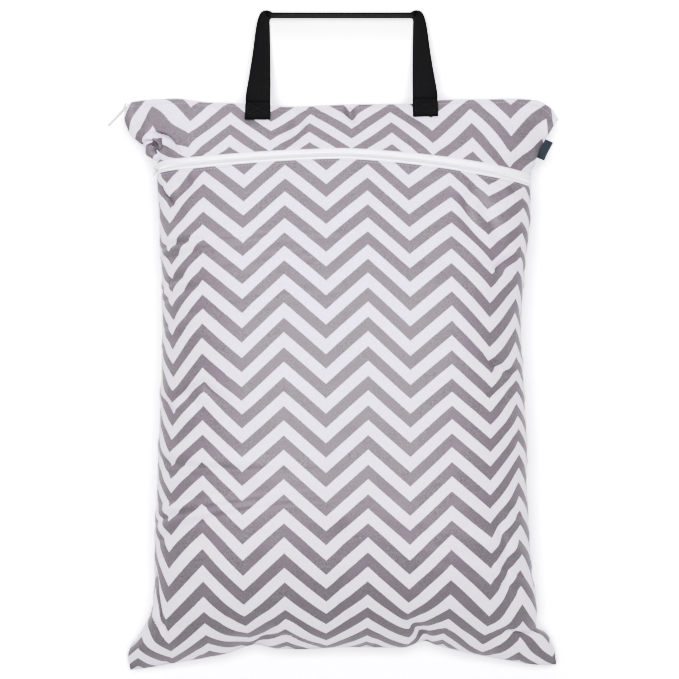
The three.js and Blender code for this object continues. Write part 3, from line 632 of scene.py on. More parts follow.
def piece(name, points, faces, material, replaces=None, uv=None, joined=True):
    """A piece that rides on the bag. uv: its place on the cut cloth, as one pair for each point."""
    mesh = bpy.data.meshes.new(name)
    mesh.from_pydata(np.asarray(points, float).tolist(), [], [list(map(int, f)) for f in faces])
    mesh.polygons.foreach_set("use_smooth", np.ones(len(mesh.polygons), bool))
    if uv is not None:
        corner = np.zeros(len(mesh.loops), int)
        mesh.loops.foreach_get("vertex_index", corner)
        mesh.uv_layers.new(name="Cloth").data.foreach_set("uv", np.asarray(uv, float)[corner].ravel())
    mesh.materials.append(material)
    mesh.update()
    obj = scene_object(name, mesh)
    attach(obj, "bag")
    if joined:
        clean(obj)
    if replaces:
        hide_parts(replaces)
    return obj


def clean(obj):
    """Joins the points that lie on each other and turns the faces outwards."""
    mesh = bmesh.new()
    mesh.from_mesh(obj.data)
    bmesh.ops.remove_doubles(mesh, verts=mesh.verts, dist=JOIN_DISTANCE)
    bmesh.ops.dissolve_degenerate(mesh, edges=mesh.edges, dist=JOIN_DISTANCE)
    bmesh.ops.recalc_face_normals(mesh, faces=mesh.faces)
    mesh.to_mesh(obj.data)
    mesh.free()
    obj.data.polygons.foreach_set("use_smooth", np.ones(len(obj.data.polygons), bool))


def uv_grid(u, v):
    """Pairs for a grid of points whose columns have the values u and whose rows have the values v."""
    return np.stack(np.broadcast_arrays(u[None, :], v[:, None]), -1).reshape(-1, 2)


def grid_faces(rows, cols, start=0, turned=False):
    """Quads of a grid of points, whose rows follow each other."""
    i, j = np.meshgrid(np.arange(rows - 1), np.arange(cols - 1), indexing="ij")
    a = start + i * cols + j
    quads = np.stack([a, a + 1, a + cols + 1, a + cols], -1).reshape(-1, 4)
    return quads[:, ::-1] if turned else quads


def slab(outer, inner):
    """Points and faces of a closed sheet between two grids of points."""
    rows, cols = outer.shape[:2]
    count = rows * cols
    points = np.concatenate([outer.reshape(-1, 3), inner.reshape(-1, 3)])
    faces = [grid_faces(rows, cols), grid_faces(rows, cols, count, True)]
    ring = np.concatenate([
        np.arange(cols),
        np.arange(1, rows) * cols + cols - 1,
        (rows - 1) * cols + np.arange(cols - 2, -1, -1),
        np.arange(rows - 2, 0, -1) * cols,
    ])
    after = np.roll(ring, -1)
    faces.append(np.stack([after, ring, ring + count, after + count], -1))
    return points, np.concatenate(faces)


def normals_of(grid):
    """Unit normals of a grid of points."""
    return unit(np.cross(np.gradient(grid, axis=1), np.gradient(grid, axis=0)))


class Nodes:
    """A material's node tree, built by short calls."""

    def __init__(self, name):
        self.material = bpy.data.materials.new(name)
        self.material.use_nodes = True
        self.tree = self.material.node_tree
        self.shader = self.tree.nodes["Principled BSDF"]

    def add(self, kind, values=None, **settings):
        node = self.tree.nodes.new(kind)
        for key, value in settings.items():
            setattr(node, key, value)
        for key, value in (values or {}).items():
            self.put(node.inputs[key], value)
        return node

    def put(self, socket, value):
        if isinstance(value, bpy.types.NodeSocket):
            self.tree.links.new(value, socket)
        else:
            socket.default_value = value

    def math(self, operation, a, b=0.0, clamp=False):
        node = self.add("ShaderNodeMath", {0: a, 1: b}, operation=operation, use_clamp=clamp)
        return node.outputs[0]

    def blend(self, factor, a, b):
        node = self.add("ShaderNodeMix", data_type="RGBA")
        for index, value in ((0, factor), (6, a), (7, b)):
            self.put(node.inputs[index], value)
        return node.outputs[2]

    def noise(self, scale, detail=2.0, roughness=0.5, vector=None):
        node = self.add(
            "ShaderNodeTexNoise", {"Scale": scale, "Detail": detail, "Roughness": roughness}
        )
        self.put(node.inputs["Vector"], vector or self.place())
        return node.outputs["Fac"]

    def place(self):
        return self.add("ShaderNodeTexCoord").outputs["Object"]

    def uv(self, name):
        split = self.add("ShaderNodeSeparateXYZ")
        self.put(split.inputs[0], self.add("ShaderNodeUVMap", uv_map=name).outputs[0])
        return split.outputs[0], split.outputs[1]

    def range(self, value, low, high, to_low=0.0, to_high=1.0):
        node = self.add(
            "ShaderNodeMapRange",
            {"From Min": low, "From Max": high, "To Min": to_low, "To Max": to_high},
        )
        self.put(node.inputs[0], value)
        return node.outputs[0]

    def turns(self, value, pitch):
        """The angle of a wave along a length."""
        return self.math("MULTIPLY", value, 2 * math.pi / pitch)

    def ribs(self, value, pitch):
        return self.math("SINE", self.turns(value, pitch))

    def bump(self, height, distance, strength=1.0, under=None):
        node = self.add("ShaderNodeBump", {"Distance": distance, "Strength": strength})
        self.put(node.inputs["Height"], height)
        if under is not None:
            self.put(node.inputs["Normal"], under)
        return node.outputs[0]

    def finish(self, **values):
        for key, value in values.items():
            self.put(self.shader.inputs[key.replace("_", " ")], value)
        return self.material


def srgb(r, g, b):
    """A linear colour from 0 to 255 sRGB values."""
    def line(c):
        c /= 255
        return c / 12.92 if c <= 0.04045 else ((c + 0.055) / 1.055) ** 2.4
    return (line(r), line(g), line(b), 1.0)


def thread_height(n, u, v, pitch):
    """The height of a plain weave: threads along u pass over and under threads along v."""
    crossed = n.math("MULTIPLY", n.ribs(u, 2 * pitch), n.ribs(v, 2 * pitch))
    return n.math("MULTIPLY_ADD", crossed, 0.5)


def print_cloth(name, peak, band, period):
    """Coated polyester with the zigzag print."""
    n = Nodes(name)
    u, v = n.uv("Cloth")
    nudge = n.math("MULTIPLY", n.math("SUBTRACT", n.noise(*RAGGED_NOISE), 0.5), INK_RAGGED)
    wave = n.math("ADD", n.math("DIVIDE", n.math("SUBTRACT", u, peak), PRINT_WAVE), 0.5)
    off_peak = n.math("ABSOLUTE", n.math("SUBTRACT", n.math("FRACT", wave), 0.5))
    fall = n.math("MULTIPLY", off_peak, 2 * PRINT_HEIGHT)
    level = n.math("ADD", n.math("ADD", v, fall), nudge)
    share = n.math("FRACT", n.math("DIVIDE", n.math("SUBTRACT", band, level), period))
    off_middle = n.math("ABSOLUTE", n.math("SUBTRACT", share, 0.25))
    mirrored = n.math("MINIMUM", off_middle, n.math("SUBTRACT", 1.0, off_middle))
    inked = n.range(mirrored, 0.25 + INK_EDGE, 0.25 - INK_EDGE)
    speckle = n.noise(*PRINT_GRAIN)
    grain = n.range(speckle, *GRAIN_SPAN)
    clouds = n.range(n.noise(*PRINT_CLOUDS), *CLOUD_SPAN)

    def ink(values):
        row = dict(zip(INK_COLUMNS, values))
        plain = n.blend(grain, srgb(*row["dark"]), srgb(*row["light"]))
        return n.blend(n.math("MULTIPLY", clouds, row["clouded"]), plain, srgb(*row["cloud"]))

    weave = n.bump(thread_height(n, u, v, WEAVE_PITCH), *WEAVE_BUMP)
    normal = n.bump(n.noise(*CREPE_NOISE), *CREPE_BUMP, weave)
    n.shader.inputs["Sheen Weight"].default_value = PRINT_SHEEN
    n.shader.inputs["Specular IOR Level"].default_value = PRINT_SPECULAR
    return n.finish(Base_Color=n.blend(inked, ink(WHITE_INK), ink(GREY_INK)), Normal=normal,
                    Roughness=n.range(speckle, *GRAIN_SPAN, *PRINT_DULL))


def surface(name, dress):
    """A material of the table of surfaces. dress gives its colour and the height of its relief."""
    row = dict(zip(SURFACE_COLUMNS, SURFACES[name]))
    n = Nodes(name)
    speckle = n.noise(*row["grain"])
    n.shader.inputs["Sheen Weight"].default_value = row["sheen"]
    n.shader.inputs["Specular IOR Level"].default_value = row["specular"]
    colour, height = dress(n, n.blend(speckle, srgb(*row["dark"]), srgb(*row["light"])))
    return n.finish(Base_Color=colour, Roughness=n.range(speckle, *GRAIN_SPAN, *row["dull"]),
                    Normal=n.bump(height, *row["bump"]))


def ribbed_tape(n, colour):
    """White zip tape."""
    u, v = n.uv("Cloth")
    ribs = n.ribs(v, TAPE_RIB)
    herring = n.math("SINE", n.math("ADD", n.turns(u, TAPE_HERRING), ribs))
    return colour, n.math("ADD", ribs, herring)


def smooth_nylon(n, colour):
    return colour, n.noise(*NYLON_NOISE)


def rim_greyed_enamel(n, colour):
    """White enamel over cast zinc, greyer at its sharpest rims."""
    # Greyer where the surface is sharpest, by its pointiness
    greyed = n.range(n.add("ShaderNodeNewGeometry").outputs["Pointiness"], *RIM_GREY_SPAN)
    colour = n.blend(n.math("MULTIPLY", greyed, RIM_GREY_SHARE), colour, srgb(*RIM_GREY_ENAMEL))
    return colour, n.noise(*ENAMEL_NOISE)


def webbing_weave(n, colour):
    """Black polypropylene webbing: lengthwise cords crossed by fine threads, with painted shade darkening
    both of its edges.
    """
    u, v = n.uv("Cloth")
    # Painted shade: the colour grows darker towards both edges of the webbing
    rim = n.range(n.math("ABSOLUTE", u), *EDGE_SHADE_SPAN)
    colour = n.blend(n.math("MULTIPLY", rim, EDGE_SHADE_SHARE), colour, srgb(*WEBBING_EDGE_SHADE))
    cords = n.math("MULTIPLY", n.ribs(u, CORD_PITCH), CORD_BUMP)
    return colour, n.math("ADD", cords, n.ribs(v, CROSS_PITCH))


def satin(n, colour):
    """Dark teal satin ribbon, left bare."""
    _, v = n.uv("Cloth")
    return colour, n.math("ADD", n.ribs(v, SATIN_PITCH), n.noise(*SATIN_NOISE))


def twisted_thread(n, colour):
    twist = n.add("ShaderNodeTexWave", THREAD_TWIST, bands_direction="DIAGONAL")
    n.put(twist.inputs["Vector"], n.place())
    return colour, twist.outputs["Fac"]


PRINT_POCKET = print_cloth("print_pocket", POCKET_PEAK, POCKET_BAND, PRINT_PERIOD)
PRINT_UPPER = print_cloth("print_upper", UPPER_PEAK, UPPER_BAND, UPPER_PERIOD)
PRINT_BACK = print_cloth("print_back", POCKET_PEAK, POCKET_BAND, PRINT_PERIOD)
TAPE = surface("zip_tape_cloth", ribbed_tape)
COIL = surface("zip_coil_nylon", smooth_nylon)
METAL = surface("zip_metal_enamel", rim_greyed_enamel)
WEBBING = surface("webbing_cloth", webbing_weave)
LABEL = surface("label_satin", satin)
PALE_THREAD = surface("thread_pale", twisted_thread)
BLACK_THREAD = surface("thread_black", twisted_thread)


# The cloth: every point of it is found by its share across and along the bag

fine_at = np.linspace(0, 1, FINE)
fine_across = np.sin(np.linspace(-np.pi / 2, np.pi / 2, FINE))


def arc_of(points):
    """How far along a run of points each one lies."""
    return np.concatenate([[0], np.cumsum(np.linalg.norm(np.diff(points, axis=0), axis=1))])


centre_arc = arc_of(front_point(np.zeros(FINE), fine_at))
print_arc = np.where(centre_arc > SAG_KNEE, centre_arc, SAG_KNEE - (SAG_KNEE - centre_arc) * SAG_EASE)
middle_arc = arc_of(front_point(fine_across, np.full(FINE, MIDDLE_ROW)))
ZIP_LINE = np.interp(POCKET_ZIP_AT, fine_at, centre_arc)


def at_distance(distance):
    """The share of the length that lies so far above the pocket zip's middle, along the cloth."""
    return np.interp(ZIP_LINE + distance, centre_arc, fine_at)


def zip_shift(across):
    """How far the coil has been pushed off the zip's middle, clear of its slider."""
    return COIL_SHIFT * smooth(across, *SHIFT_FROM)


LOWER_EDGE = at_distance(COIL_SHIFT - COIL_WIDTH / 2 - LOWER_TAPE + TUCK)
UPPER_EDGE = at_distance(COIL_WIDTH / 2 + UPPER_TAPE - TUCK)


def even_across(point, count):
    """Shares across that lie evenly along the middle row's cloth."""
    arc = arc_of(point(fine_across, np.full(FINE, MIDDLE_ROW)))
    out = np.interp(np.linspace(0, arc[-1], count + 1), arc, fine_across)
    out[0], out[-1] = -1, 1
    return out


def from_seam(across):
    """How far the cloth runs from the nearer side seam."""
    arc = across_cloth(across)
    return np.minimum(arc, middle_arc[-1] - arc)


def along_cloth(at):
    return np.interp(at, fine_at, centre_arc)


def across_cloth(across):
    return np.interp(across, fine_across, middle_arc)


def wander(x, pitch, seed):
    """Smooth noise along one length, from -1 to 1."""
    values = np.random.default_rng(seed).uniform(-1, 1, LATTICE)
    q = np.asarray(x) / pitch + LATTICE_SHIFT
    i = np.floor(q).astype(int)
    f = smooth(q - i, 0, 1)
    return values[i % LATTICE] * (1 - f) + values[(i + 1) % LATTICE] * f


def swell(x, y, pitch, seed):
    """Smooth noise over the cloth, from a few long waves that cross."""
    rng = np.random.default_rng(seed)
    total = np.zeros(np.broadcast(x, y).shape)
    for _ in range(SWELL_WAVES):
        turn, phase = rng.uniform(0, 2 * math.pi, 2)
        length = pitch * rng.uniform(*SWELL_SPREAD)
        total = total + np.sin(2 * math.pi * (x * math.cos(turn) + y * math.sin(turn)) / length + phase)
    return total / SWELL_WAVES


def gathers(along, inward, reach, pitch, seed):
    """Puckers that start at a seam and die away inward: round crests and narrow valleys."""
    slant = along + inward * GATHER_SLANT * wander(along, SLANT_PITCH * pitch, seed + 1)
    crest = np.abs(wander(slant, pitch, seed)) - GATHER_LEVEL
    change = wander(along, REACH_PITCH * pitch, seed + 2)
    length = reach * (MIDDLE_REACH + (1 - MIDDLE_REACH) * change)
    return crest * np.exp(-np.maximum(inward, 0) / length) * smooth(inward, 0, GATHER_START)


def creases(x, y):
    """How deep the creases are, seen from above, and how far each point's cloth has been drawn in."""
    total = np.zeros(np.broadcast(x, y).shape)
    drawn = np.zeros(total.shape + (2,))
    for row in CREASES:
        crease = dict(zip(CREASE_COLUMNS, row))
        t = np.linspace(0, 1, CREASE_STEPS)[:, None]
        ends = np.array([[crease["x0"], crease["y0"]], [crease["x1"], crease["y1"]],
                         [crease["x2"], crease["y2"]]])
        bend = 2 * ends[1] - (ends[0] + ends[2]) / 2
        path = ends[0] * (1 - t) ** 2 + 2 * bend * t * (1 - t) + ends[2] * t**2
        way = unit(np.gradient(path, axis=0))
        best, depth, pull = np.full(total.shape, 1e9), np.zeros(total.shape), np.zeros(drawn.shape)
        for (px, py), (wx, wy), at in zip(path, way, t[:, 0]):
            dx, dy = x - px, y - py
            far = dx * dx + dy * dy
            left = wx * dy - wy * dx
            aside = np.sqrt(far) / crease["wide"]
            fade = math.sin(math.pi * (CREASE_ENDS + (1 - 2 * CREASE_ENDS) * at))
            here = fade * np.exp(-(aside * np.where(left > 0, crease["lip"], 1)) ** 2)
            amount = fade * np.tanh(CREASE_TURN * left / crease["wide"]) * np.exp(-far / DRAWN_REACH**2)
            nearer = far < best
            best = np.where(nearer, far, best)
            depth = np.where(nearer, here, depth)
            pull = np.where(nearer[..., None], amount[..., None] * np.array([-wy, wx]), pull)
        total += crease["deep"] * depth
        drawn += crease["hidden"] / 2 * pull
    return total, drawn


def puckers(rows, swells, across, at, x, y):
    """How far the gathers and swells stand out, and the share of it that is left near the rims."""
    side, v = from_seam(across), along_cloth(at)
    u = across_cloth(across)
    top = centre_arc[-1] - v
    taut = LEFT_AT_SEAM + (1 - LEFT_AT_SEAM) * smooth(side, *SEAM_TAUT)
    starts = {
        "left": (v, side, taut * (across < 0)),
        "right": (v, side, taut * (across >= 0)),
        "sides": (v, side, 1),
        "bottom": (u, v, 1),
        "top": (u, top, 1),
        "under_zip": (u, ZIP_LINE - ZIP_HALF - v, 1),
        "over_zip": (u, v - ZIP_LINE - ZIP_HALF, 1),
    }
    total = np.zeros(np.broadcast(x, y).shape)
    for row in swells:
        wave = dict(zip(SWELL_COLUMNS, row))
        total += wave["height"] * swell(x, y, wave["pitch"], wave["seed"])
    for row in rows:
        row = dict(zip(GATHER_COLUMNS, row))
        along, inward, share = starts[row["start"]]
        total += row["height"] * share * gathers(along, inward, row["reach"], row["pitch"], row["seed"])
    return total, smooth(side, 0, CALM_SIDE) * smooth(top, 0, CALM_TOP) * smooth(v, 0, CALM_BOTTOM)


def relief(across, at, x, y):
    """How far the front's cloth stands out of the smooth shape."""
    total, calm = puckers(FRONT_GATHERS, FRONT_SWELLS, across, at, x, y)
    off_zip = smooth(np.abs(along_cloth(at) - ZIP_LINE), ZIP_HALF, ZIP_HALF + CALM_ZIP)
    return (total - creases(x, y)[0]) * calm * (LEFT_AT_ZIP + (1 - LEFT_AT_ZIP) * off_zip)


def back_relief(across, at, x, y):
    total, calm = puckers(BACK_GATHERS, BACK_SWELLS, across, at, x, y)
    return total * calm


def normal_at(point, across, at, outward=1):
    """The outward normal of the smooth shape."""
    step, rim = NORMAL_STEP, 1 - NORMAL_STEP
    a0, a1 = np.maximum(across - step, -rim), np.minimum(across + step, rim)
    a0, a1 = np.minimum(a0, rim - 2 * step), np.maximum(a1, 2 * step - rim)
    t0, t1 = np.maximum(at - step, 0), np.minimum(at + step, 1)
    u = point(a1, at) - point(a0, at)
    v = point(across, t1) - point(across, t0)
    return unit(np.cross(u, v)) * outward


def weigh(index, count):
    """The four neighbours of a place in a row of values, and their weights in a smooth curve."""
    i = np.clip(np.floor(index).astype(int), 0, count - 2)
    f = (index - i)[..., None]
    near = np.stack([np.clip(i + k, 0, count - 1) for k in (-1, 0, 1, 2)], -1)
    powers = np.concatenate([f**0, f, f**2, f**3], -1)
    basis = 0.5 * np.array([[0, 2, 0, 0], [-1, 0, 1, 0], [2, -5, 4, -1], [-1, 3, -3, 1]])
    return near, powers @ basis


class Settled:
    """How the cloth moved when it settled, on a grid of shares."""

    def __init__(self, across, at, moved):
        self.across, self.at, self.moved = across, at, moved

    def __call__(self, across, at):
        i = np.interp(at, self.at, np.arange(len(self.at)))
        j = np.interp(across, self.across, np.arange(len(self.across)))
        near_i, weight_i = weigh(i, len(self.at))
        near_j, weight_j = weigh(j, len(self.across))
        total = np.zeros(np.shape(across) + (3,))
        for a in range(4):
            for b in range(4):
                total += (weight_i[..., a] * weight_j[..., b])[..., None] * \
                    self.moved[near_i[..., a], near_j[..., b]]
        return total


def settle():
    """Lets the front's cloth, cut a little too large near its seams, settle over what fills the bag."""
    at = np.linspace(0, 1, SETTLE_ROWS)
    across = even_across(front_point, SETTLE_COLUMNS)
    grid_across, grid_at = shares(across[None, :], at[:, None])
    start = front_point(grid_across, grid_at)
    mesh = bpy.data.meshes.new("settling")
    mesh.from_pydata(start.reshape(-1, 3).tolist(), [], grid_faces(*start.shape[:2]).tolist())
    obj = scene_object("settling", mesh)
    v = along_cloth(grid_at)
    side = from_seam(grid_across)
    ends = np.minimum(v, centre_arc[-1] - v)
    held = (side < HELD_RIM) | (ends < HELD_RIM) | (np.abs(v - ZIP_LINE) < HELD_ZIP)
    spare = np.exp(-side / SPARE_REACH) + SPARE_AT_ENDS * np.exp(-ends / SPARE_REACH)
    for name, weights in (("held", held), ("spare", np.minimum(spare, 1))):
        group = obj.vertex_groups.new(name=name)
        for index, weight in enumerate(weights.ravel()):
            group.add([index], float(weight), "REPLACE")
    cloth = obj.modifiers.new("cloth", "CLOTH").settings
    for key, value in SETTLING.items():
        setattr(cloth, key, value)
    cloth.effector_weights.gravity = 0
    scene = bpy.context.scene
    for step in range(1, SETTLE_STEPS + 1):
        scene.frame_set(step)
    settled = obj.evaluated_get(bpy.context.evaluated_depsgraph_get()).to_mesh()
    after = np.zeros(start.size)
    settled.vertices.foreach_get("co", after)
    moved = after.reshape(start.shape) - start
    bpy.data.objects.remove(obj)
    bpy.data.meshes.remove(mesh)
    scene.frame_set(1)
    far = np.linalg.norm(moved, axis=2, keepdims=True)
    moved *= np.minimum(1, SETTLE_CAP / np.maximum(far, 1e-9))
    return Settled(across, at, moved)


front_settled = settle()


def front_cloth(across, at):
    across, at = shares(across, at)
    smooth_point = front_point(across, at)
    out = relief(across, at, smooth_point[..., 0], smooth_point[..., 1])
    return smooth_point + front_settled(across, at) + out[..., None] * normal_at(front_point, across, at)


def back_cloth(across, at):
    across, at = shares(across, at)
    smooth_point = back_point(across, at)
    out = back_relief(across, at, smooth_point[..., 0], smooth_point[..., 1])
    moved = smooth_point + out[..., None] * normal_at(back_point, across, at, -1)
    moved[..., 2] = np.maximum(moved[..., 2], 0)
    return moved


def cloth_map(smooth_grid, across, at):
    """The place on the cut cloth of each point of a grid of rows, from the centre line."""
    step = np.linalg.norm(np.diff(smooth_grid, axis=1), axis=2)
    arc = np.concatenate([np.zeros((len(smooth_grid), 1)), np.cumsum(step, axis=1)], axis=1)
    centre = np.array([np.interp(0, across, row) for row in arc])
    u = arc - centre[:, None]
    slide = print_slide(at)[:, None] * (across[None, :] / SLID_ACROSS) ** 2
    ear = smooth(-across, *EAR_ACROSS)[None, :] * smooth(at, *EAR_AT)[:, None]
    slide = slide + EAR_SLIDE * ear
    drawn = creases(smooth_grid[..., 0], smooth_grid[..., 1])[1]
    return np.stack([u, np.interp(at, fine_at, print_arc)[:, None] + slide], -1) + drawn


def panel(name, cloth, point, outward, rows, across, material, replaces):
    """A cloth wall of the bag, closed at its rim, with its inner face one cloth's thickness inside."""
    grid_across, grid_at = shares(across[None, :], rows[:, None])
    outer = cloth(grid_across, grid_at)
    spread = np.abs(outer[..., 2] - seam_height(grid_across, grid_at))
    depth = np.minimum(FABRIC, spread * 0.5)[..., None]
    inner = outer - normals_of(outer) * outward * depth
    points, faces = slab(outer, inner)
    if outward < 0:
        faces = faces[:, ::-1]
    uv = cloth_map(point(grid_across, grid_at), across, rows).reshape(-1, 2)
    obj = piece(name, points, faces, material, replaces,
                np.concatenate([uv, uv]), joined=False)


across_fine = even_across(front_point, FRONT_COLUMNS)
across_back = even_across(back_point, BACK_COLUMNS)
pocket_rows = np.linspace(0, LOWER_EDGE, POCKET_ROWS)
upper_rows = np.linspace(UPPER_EDGE, 1, UPPER_ROWS)
back_rows = np.linspace(0, 1, BACK_ROWS)

# The upper wall is finer, and finest on its left ear
even = np.linspace(0, 1, 2 * FRONT_COLUMNS + 1)
crowded = even + EAR_CROWD * np.sin(math.pi * even) * (even - 1)
across_upper = np.interp(crowded, np.linspace(0, 1, FRONT_COLUMNS + 1), across_fine)

panel("pocket_cloth", front_cloth, front_point, 1, pocket_rows, across_fine, PRINT_POCKET,
      "front_pocket_panel")
panel("upper_cloth", front_cloth, front_point, 1, upper_rows, across_upper, PRINT_UPPER,
      "front_upper_panel")
panel("back_cloth", back_cloth, back_point, -1, back_rows, across_back, PRINT_BACK,
      "back_panel")


# The zips

def bead(ring, outline):
    """Points and faces of a rounded bead, one unit long, wide and tall. outline: place, swell."""
    turns = 2 * math.pi * np.arange(ring) / ring
    points = np.array([
        (place / 2, fat * math.cos(turn) / 2, fat * math.sin(turn) / 2)
        for place, fat in outline for turn in turns
    ])
    faces = []
    for i in range(len(outline) - 1):
        for k in range(ring):
            a, b = i * ring + k, i * ring + (k + 1) % ring
            faces.append((a, b, b + ring, a + ring))
    return points, np.array(faces)


COIL_BEAD = bead(BEAD_SIDES, COIL_OUTLINE)
STITCH_BEAD = bead(BEAD_SIDES, STITCH_OUTLINE)


def beads(name, shape, places, along, aside, out, size, material, slot, replaces=None):
    """One piece of beads: each lies with its length along, its width aside and its height out."""
    form, faces = shape
    basis = np.stack([along, aside, out], 1)
    points = places[:, None, :] + np.einsum("sk,nkc->nsc", form * np.asarray(size), basis)
    every = (faces[None] + (np.arange(len(places)) * len(form))[:, None, None]).reshape(-1, 4)
    piece(name, points.reshape(-1, 3), every, material, replaces)


def resample(line, outs, step):
    """Evenly spaced places on a run of points: place, direction along, direction aside and out."""
    arc = arc_of(line)
    at = np.linspace(0, arc[-1], max(2, int(round(arc[-1] / step)) + 1))
    places = np.stack([np.interp(at, arc, line[:, c]) for c in range(3)], -1)
    along = unit(np.gradient(places, axis=0))
    out = np.stack([np.interp(at, arc, outs[:, c]) for c in range(3)], -1)
    out = unit(out - along * np.sum(out * along, 1, keepdims=True))
    return places, along, np.cross(out, along), out


def stitch_run(line, outs, pitch=STITCH_PITCH):
    """Places for stitches along a run of points."""
    places, along, aside, out = resample(line, outs, pitch)
    middle = (places[1:] + places[:-1]) / 2
    return middle, unit(along[1:] + along[:-1]), unit(aside[1:] + aside[:-1]), unit(out[1:] + out[:-1])


def stitches(name, runs, material, slot, size=(STITCH_LENGTH, STITCH_WIDE, STITCH_TALL)):
    places, along, aside, out = (np.concatenate(parts) for parts in zip(*runs))
    places = places + out * STITCH_TALL * STITCH_SUNK
    beads(name, STITCH_BEAD, places, along, aside, out, size, material, slot)


def front_run(across, distance):
    """A run on the front's cloth, so far above the pocket zip's middle, and its normals."""
    at = at_distance(distance + zip_shift(across))
    return front_cloth(across, at), normal_at(front_point, across, at)


def tape(name, outer, outward, lengths, widths, replaces):
    """A zip's tape under a grid of points, whose UV map is its own length and width."""
    points, faces = slab(outer, outer - outward * TAPE_CLOTH)
    uv = uv_grid(lengths, widths)
    piece(name, points, faces, TAPE, replaces, np.concatenate([uv, uv]))


def coil_turns(name, lines, replaces):
    """Two rows of coil turns that meet. lines: for each row, its points and their outward directions."""
    parts = []
    for (line, outs), start in zip(lines, (0, 0.5)):
        places, along, aside, out = resample(line, outs, COIL_PITCH)
        places = places[:-1] + along[:-1] * COIL_PITCH * start
        parts.append((places, aside[:-1], along[:-1], out[:-1]))
    rows = (np.concatenate(row) for row in zip(*parts))
    beads(name, COIL_BEAD, *rows, COIL_TURN, COIL, "zip_coil", replaces)


def pocket_tape(name, sign, wide, replaces):
    """A tape of the pocket zip: it dips under the coil at its inner edge."""
    rows = [dict(zip(POCKET_TAPE_COLUMNS, row)) for row in POCKET_TAPE][::sign]
    steps = np.array([sign * (row["coil"] * COIL_WIDTH + row["tape"] * wide) for row in rows])
    raised = np.array([row["raised"] for row in rows])
    across = across_fine[TAPE_MARGIN:-TAPE_MARGIN]
    grid_across, _ = shares(across[None, :], steps[:, None])
    grid_at = at_distance(steps[:, None] + zip_shift(across)[None, :])
    normal = normal_at(front_point, grid_across, grid_at)
    outer = front_cloth(grid_across, grid_at) + normal * raised[:, None, None]
    tape(name, outer, normal, across_cloth(across), steps, replaces)


def pocket_coil():
    across = np.sin(np.linspace(COIL_FROM, COIL_TO, COIL_STEPS))
    lines = []
    for sign in (-1, 1):
        line, normal = front_run(across, sign * COIL_WIDTH * COIL_APART)
        lines.append((line + normal * COIL_SEAT, normal))
    coil_turns("pocket_coil_turns", lines, "pocket_zip_coil")


pocket_tape("pocket_tape_lower", -1, LOWER_TAPE, "pocket_zip_lower_tape")
pocket_tape("pocket_tape_upper", 1, UPPER_TAPE, "pocket_zip_upper_tape")
pocket_coil()

inside = across_fine[STITCH_MARGIN:-STITCH_MARGIN]
stitches("zip_stitches", [
    stitch_run(*front_run(inside, -COIL_WIDTH / 2 - LOWER_TAPE - ZIP_STITCH_LOW)),
    stitch_run(*front_run(inside, COIL_WIDTH / 2 + UPPER_TAPE - ZIP_STITCH_HIGH)),
], PALE_THREAD, "zip_tape")


def top_line():
    """The top zip's line: down the left side, straight past its slider, along the top and down the
    right side. It gives each place, its level outward direction and half of the zip's height."""
    def spot(across, at):
        x, y = plan(*shares(across, at))
        return np.stack([x, y, seam_height(*shares(across, at))], -1)

    turn = np.linspace(ZIP_TURN[0], ZIP_TURN[3], TURN_STEPS)
    top_across = np.sin(np.linspace(math.asin(SLIDER_END), math.pi / 2, TOP_STEPS))
    left = spot(np.full(len(turn), -1.0), turn)
    top = spot(top_across, np.ones(len(top_across)))
    right = spot(np.full(len(turn), 1.0), turn)[::-1]
    facet = np.linspace(left[-1], top[0], 8)[1:-1]
    points = np.concatenate([left, facet, top, right])
    at = np.concatenate([turn, np.linspace(ZIP_TURN[3], 1, 6), np.ones(len(top_across)), turn[::-1]])
    along = unit(np.gradient(points, axis=0) * [1, 1, 0])
    out = np.stack([-along[:, 1], along[:, 0], np.zeros(len(along))], -1)
    return points, out, edge_half(at) - CLEARANCE, len(left) + len(facet)


def top_zip():
    points, out, tall, coil_start = top_line()
    up = np.array([0, 0, 1.0])
    rows = [dict(zip(TOP_TAPE_COLUMNS, row)) for row in TOP_TAPE]
    share, raised = (np.array([row[key] for row in rows]) for key in TOP_TAPE_COLUMNS)
    for name, sign, replaces in (
        ("top_tape_front", 1, "top_zip_front_tape"), ("top_tape_back", -1, "top_zip_back_tape"),
    ):
        heights = sign * share[:, None] * tall[None, :]
        outer = points + out * raised[:, None, None] + up * heights[:, :, None]
        tape(name, outer, out[None], arc_of(points), share * ZIP_HALF, replaces)
    line, outs = points[coil_start:], out[coil_start:]
    coil_turns("top_coil_turns", [
        (line + outs * COIL_SEAT + up * sign * COIL_WIDTH * COIL_APART, outs) for sign in (-1, 1)
    ], "top_zip_coil")


top_zip()


def edge_stitches():
    """The topstitching on both walls just under the top zip."""
    runs = []
    for cloth, point, outward in ((front_cloth, front_point, 1), (back_cloth, back_point, -1)):
        across = across_fine[EDGE_MARGIN:-EDGE_MARGIN]
        at = np.full(len(across), at_distance(centre_arc[-1] - ZIP_LINE - EDGE_STITCH))
        runs.append(stitch_run(cloth(across, at), normal_at(point, across, at, outward)))
    stitches("edge_stitches", runs, PALE_THREAD, "print_fabric")


edge_stitches()

# The handle

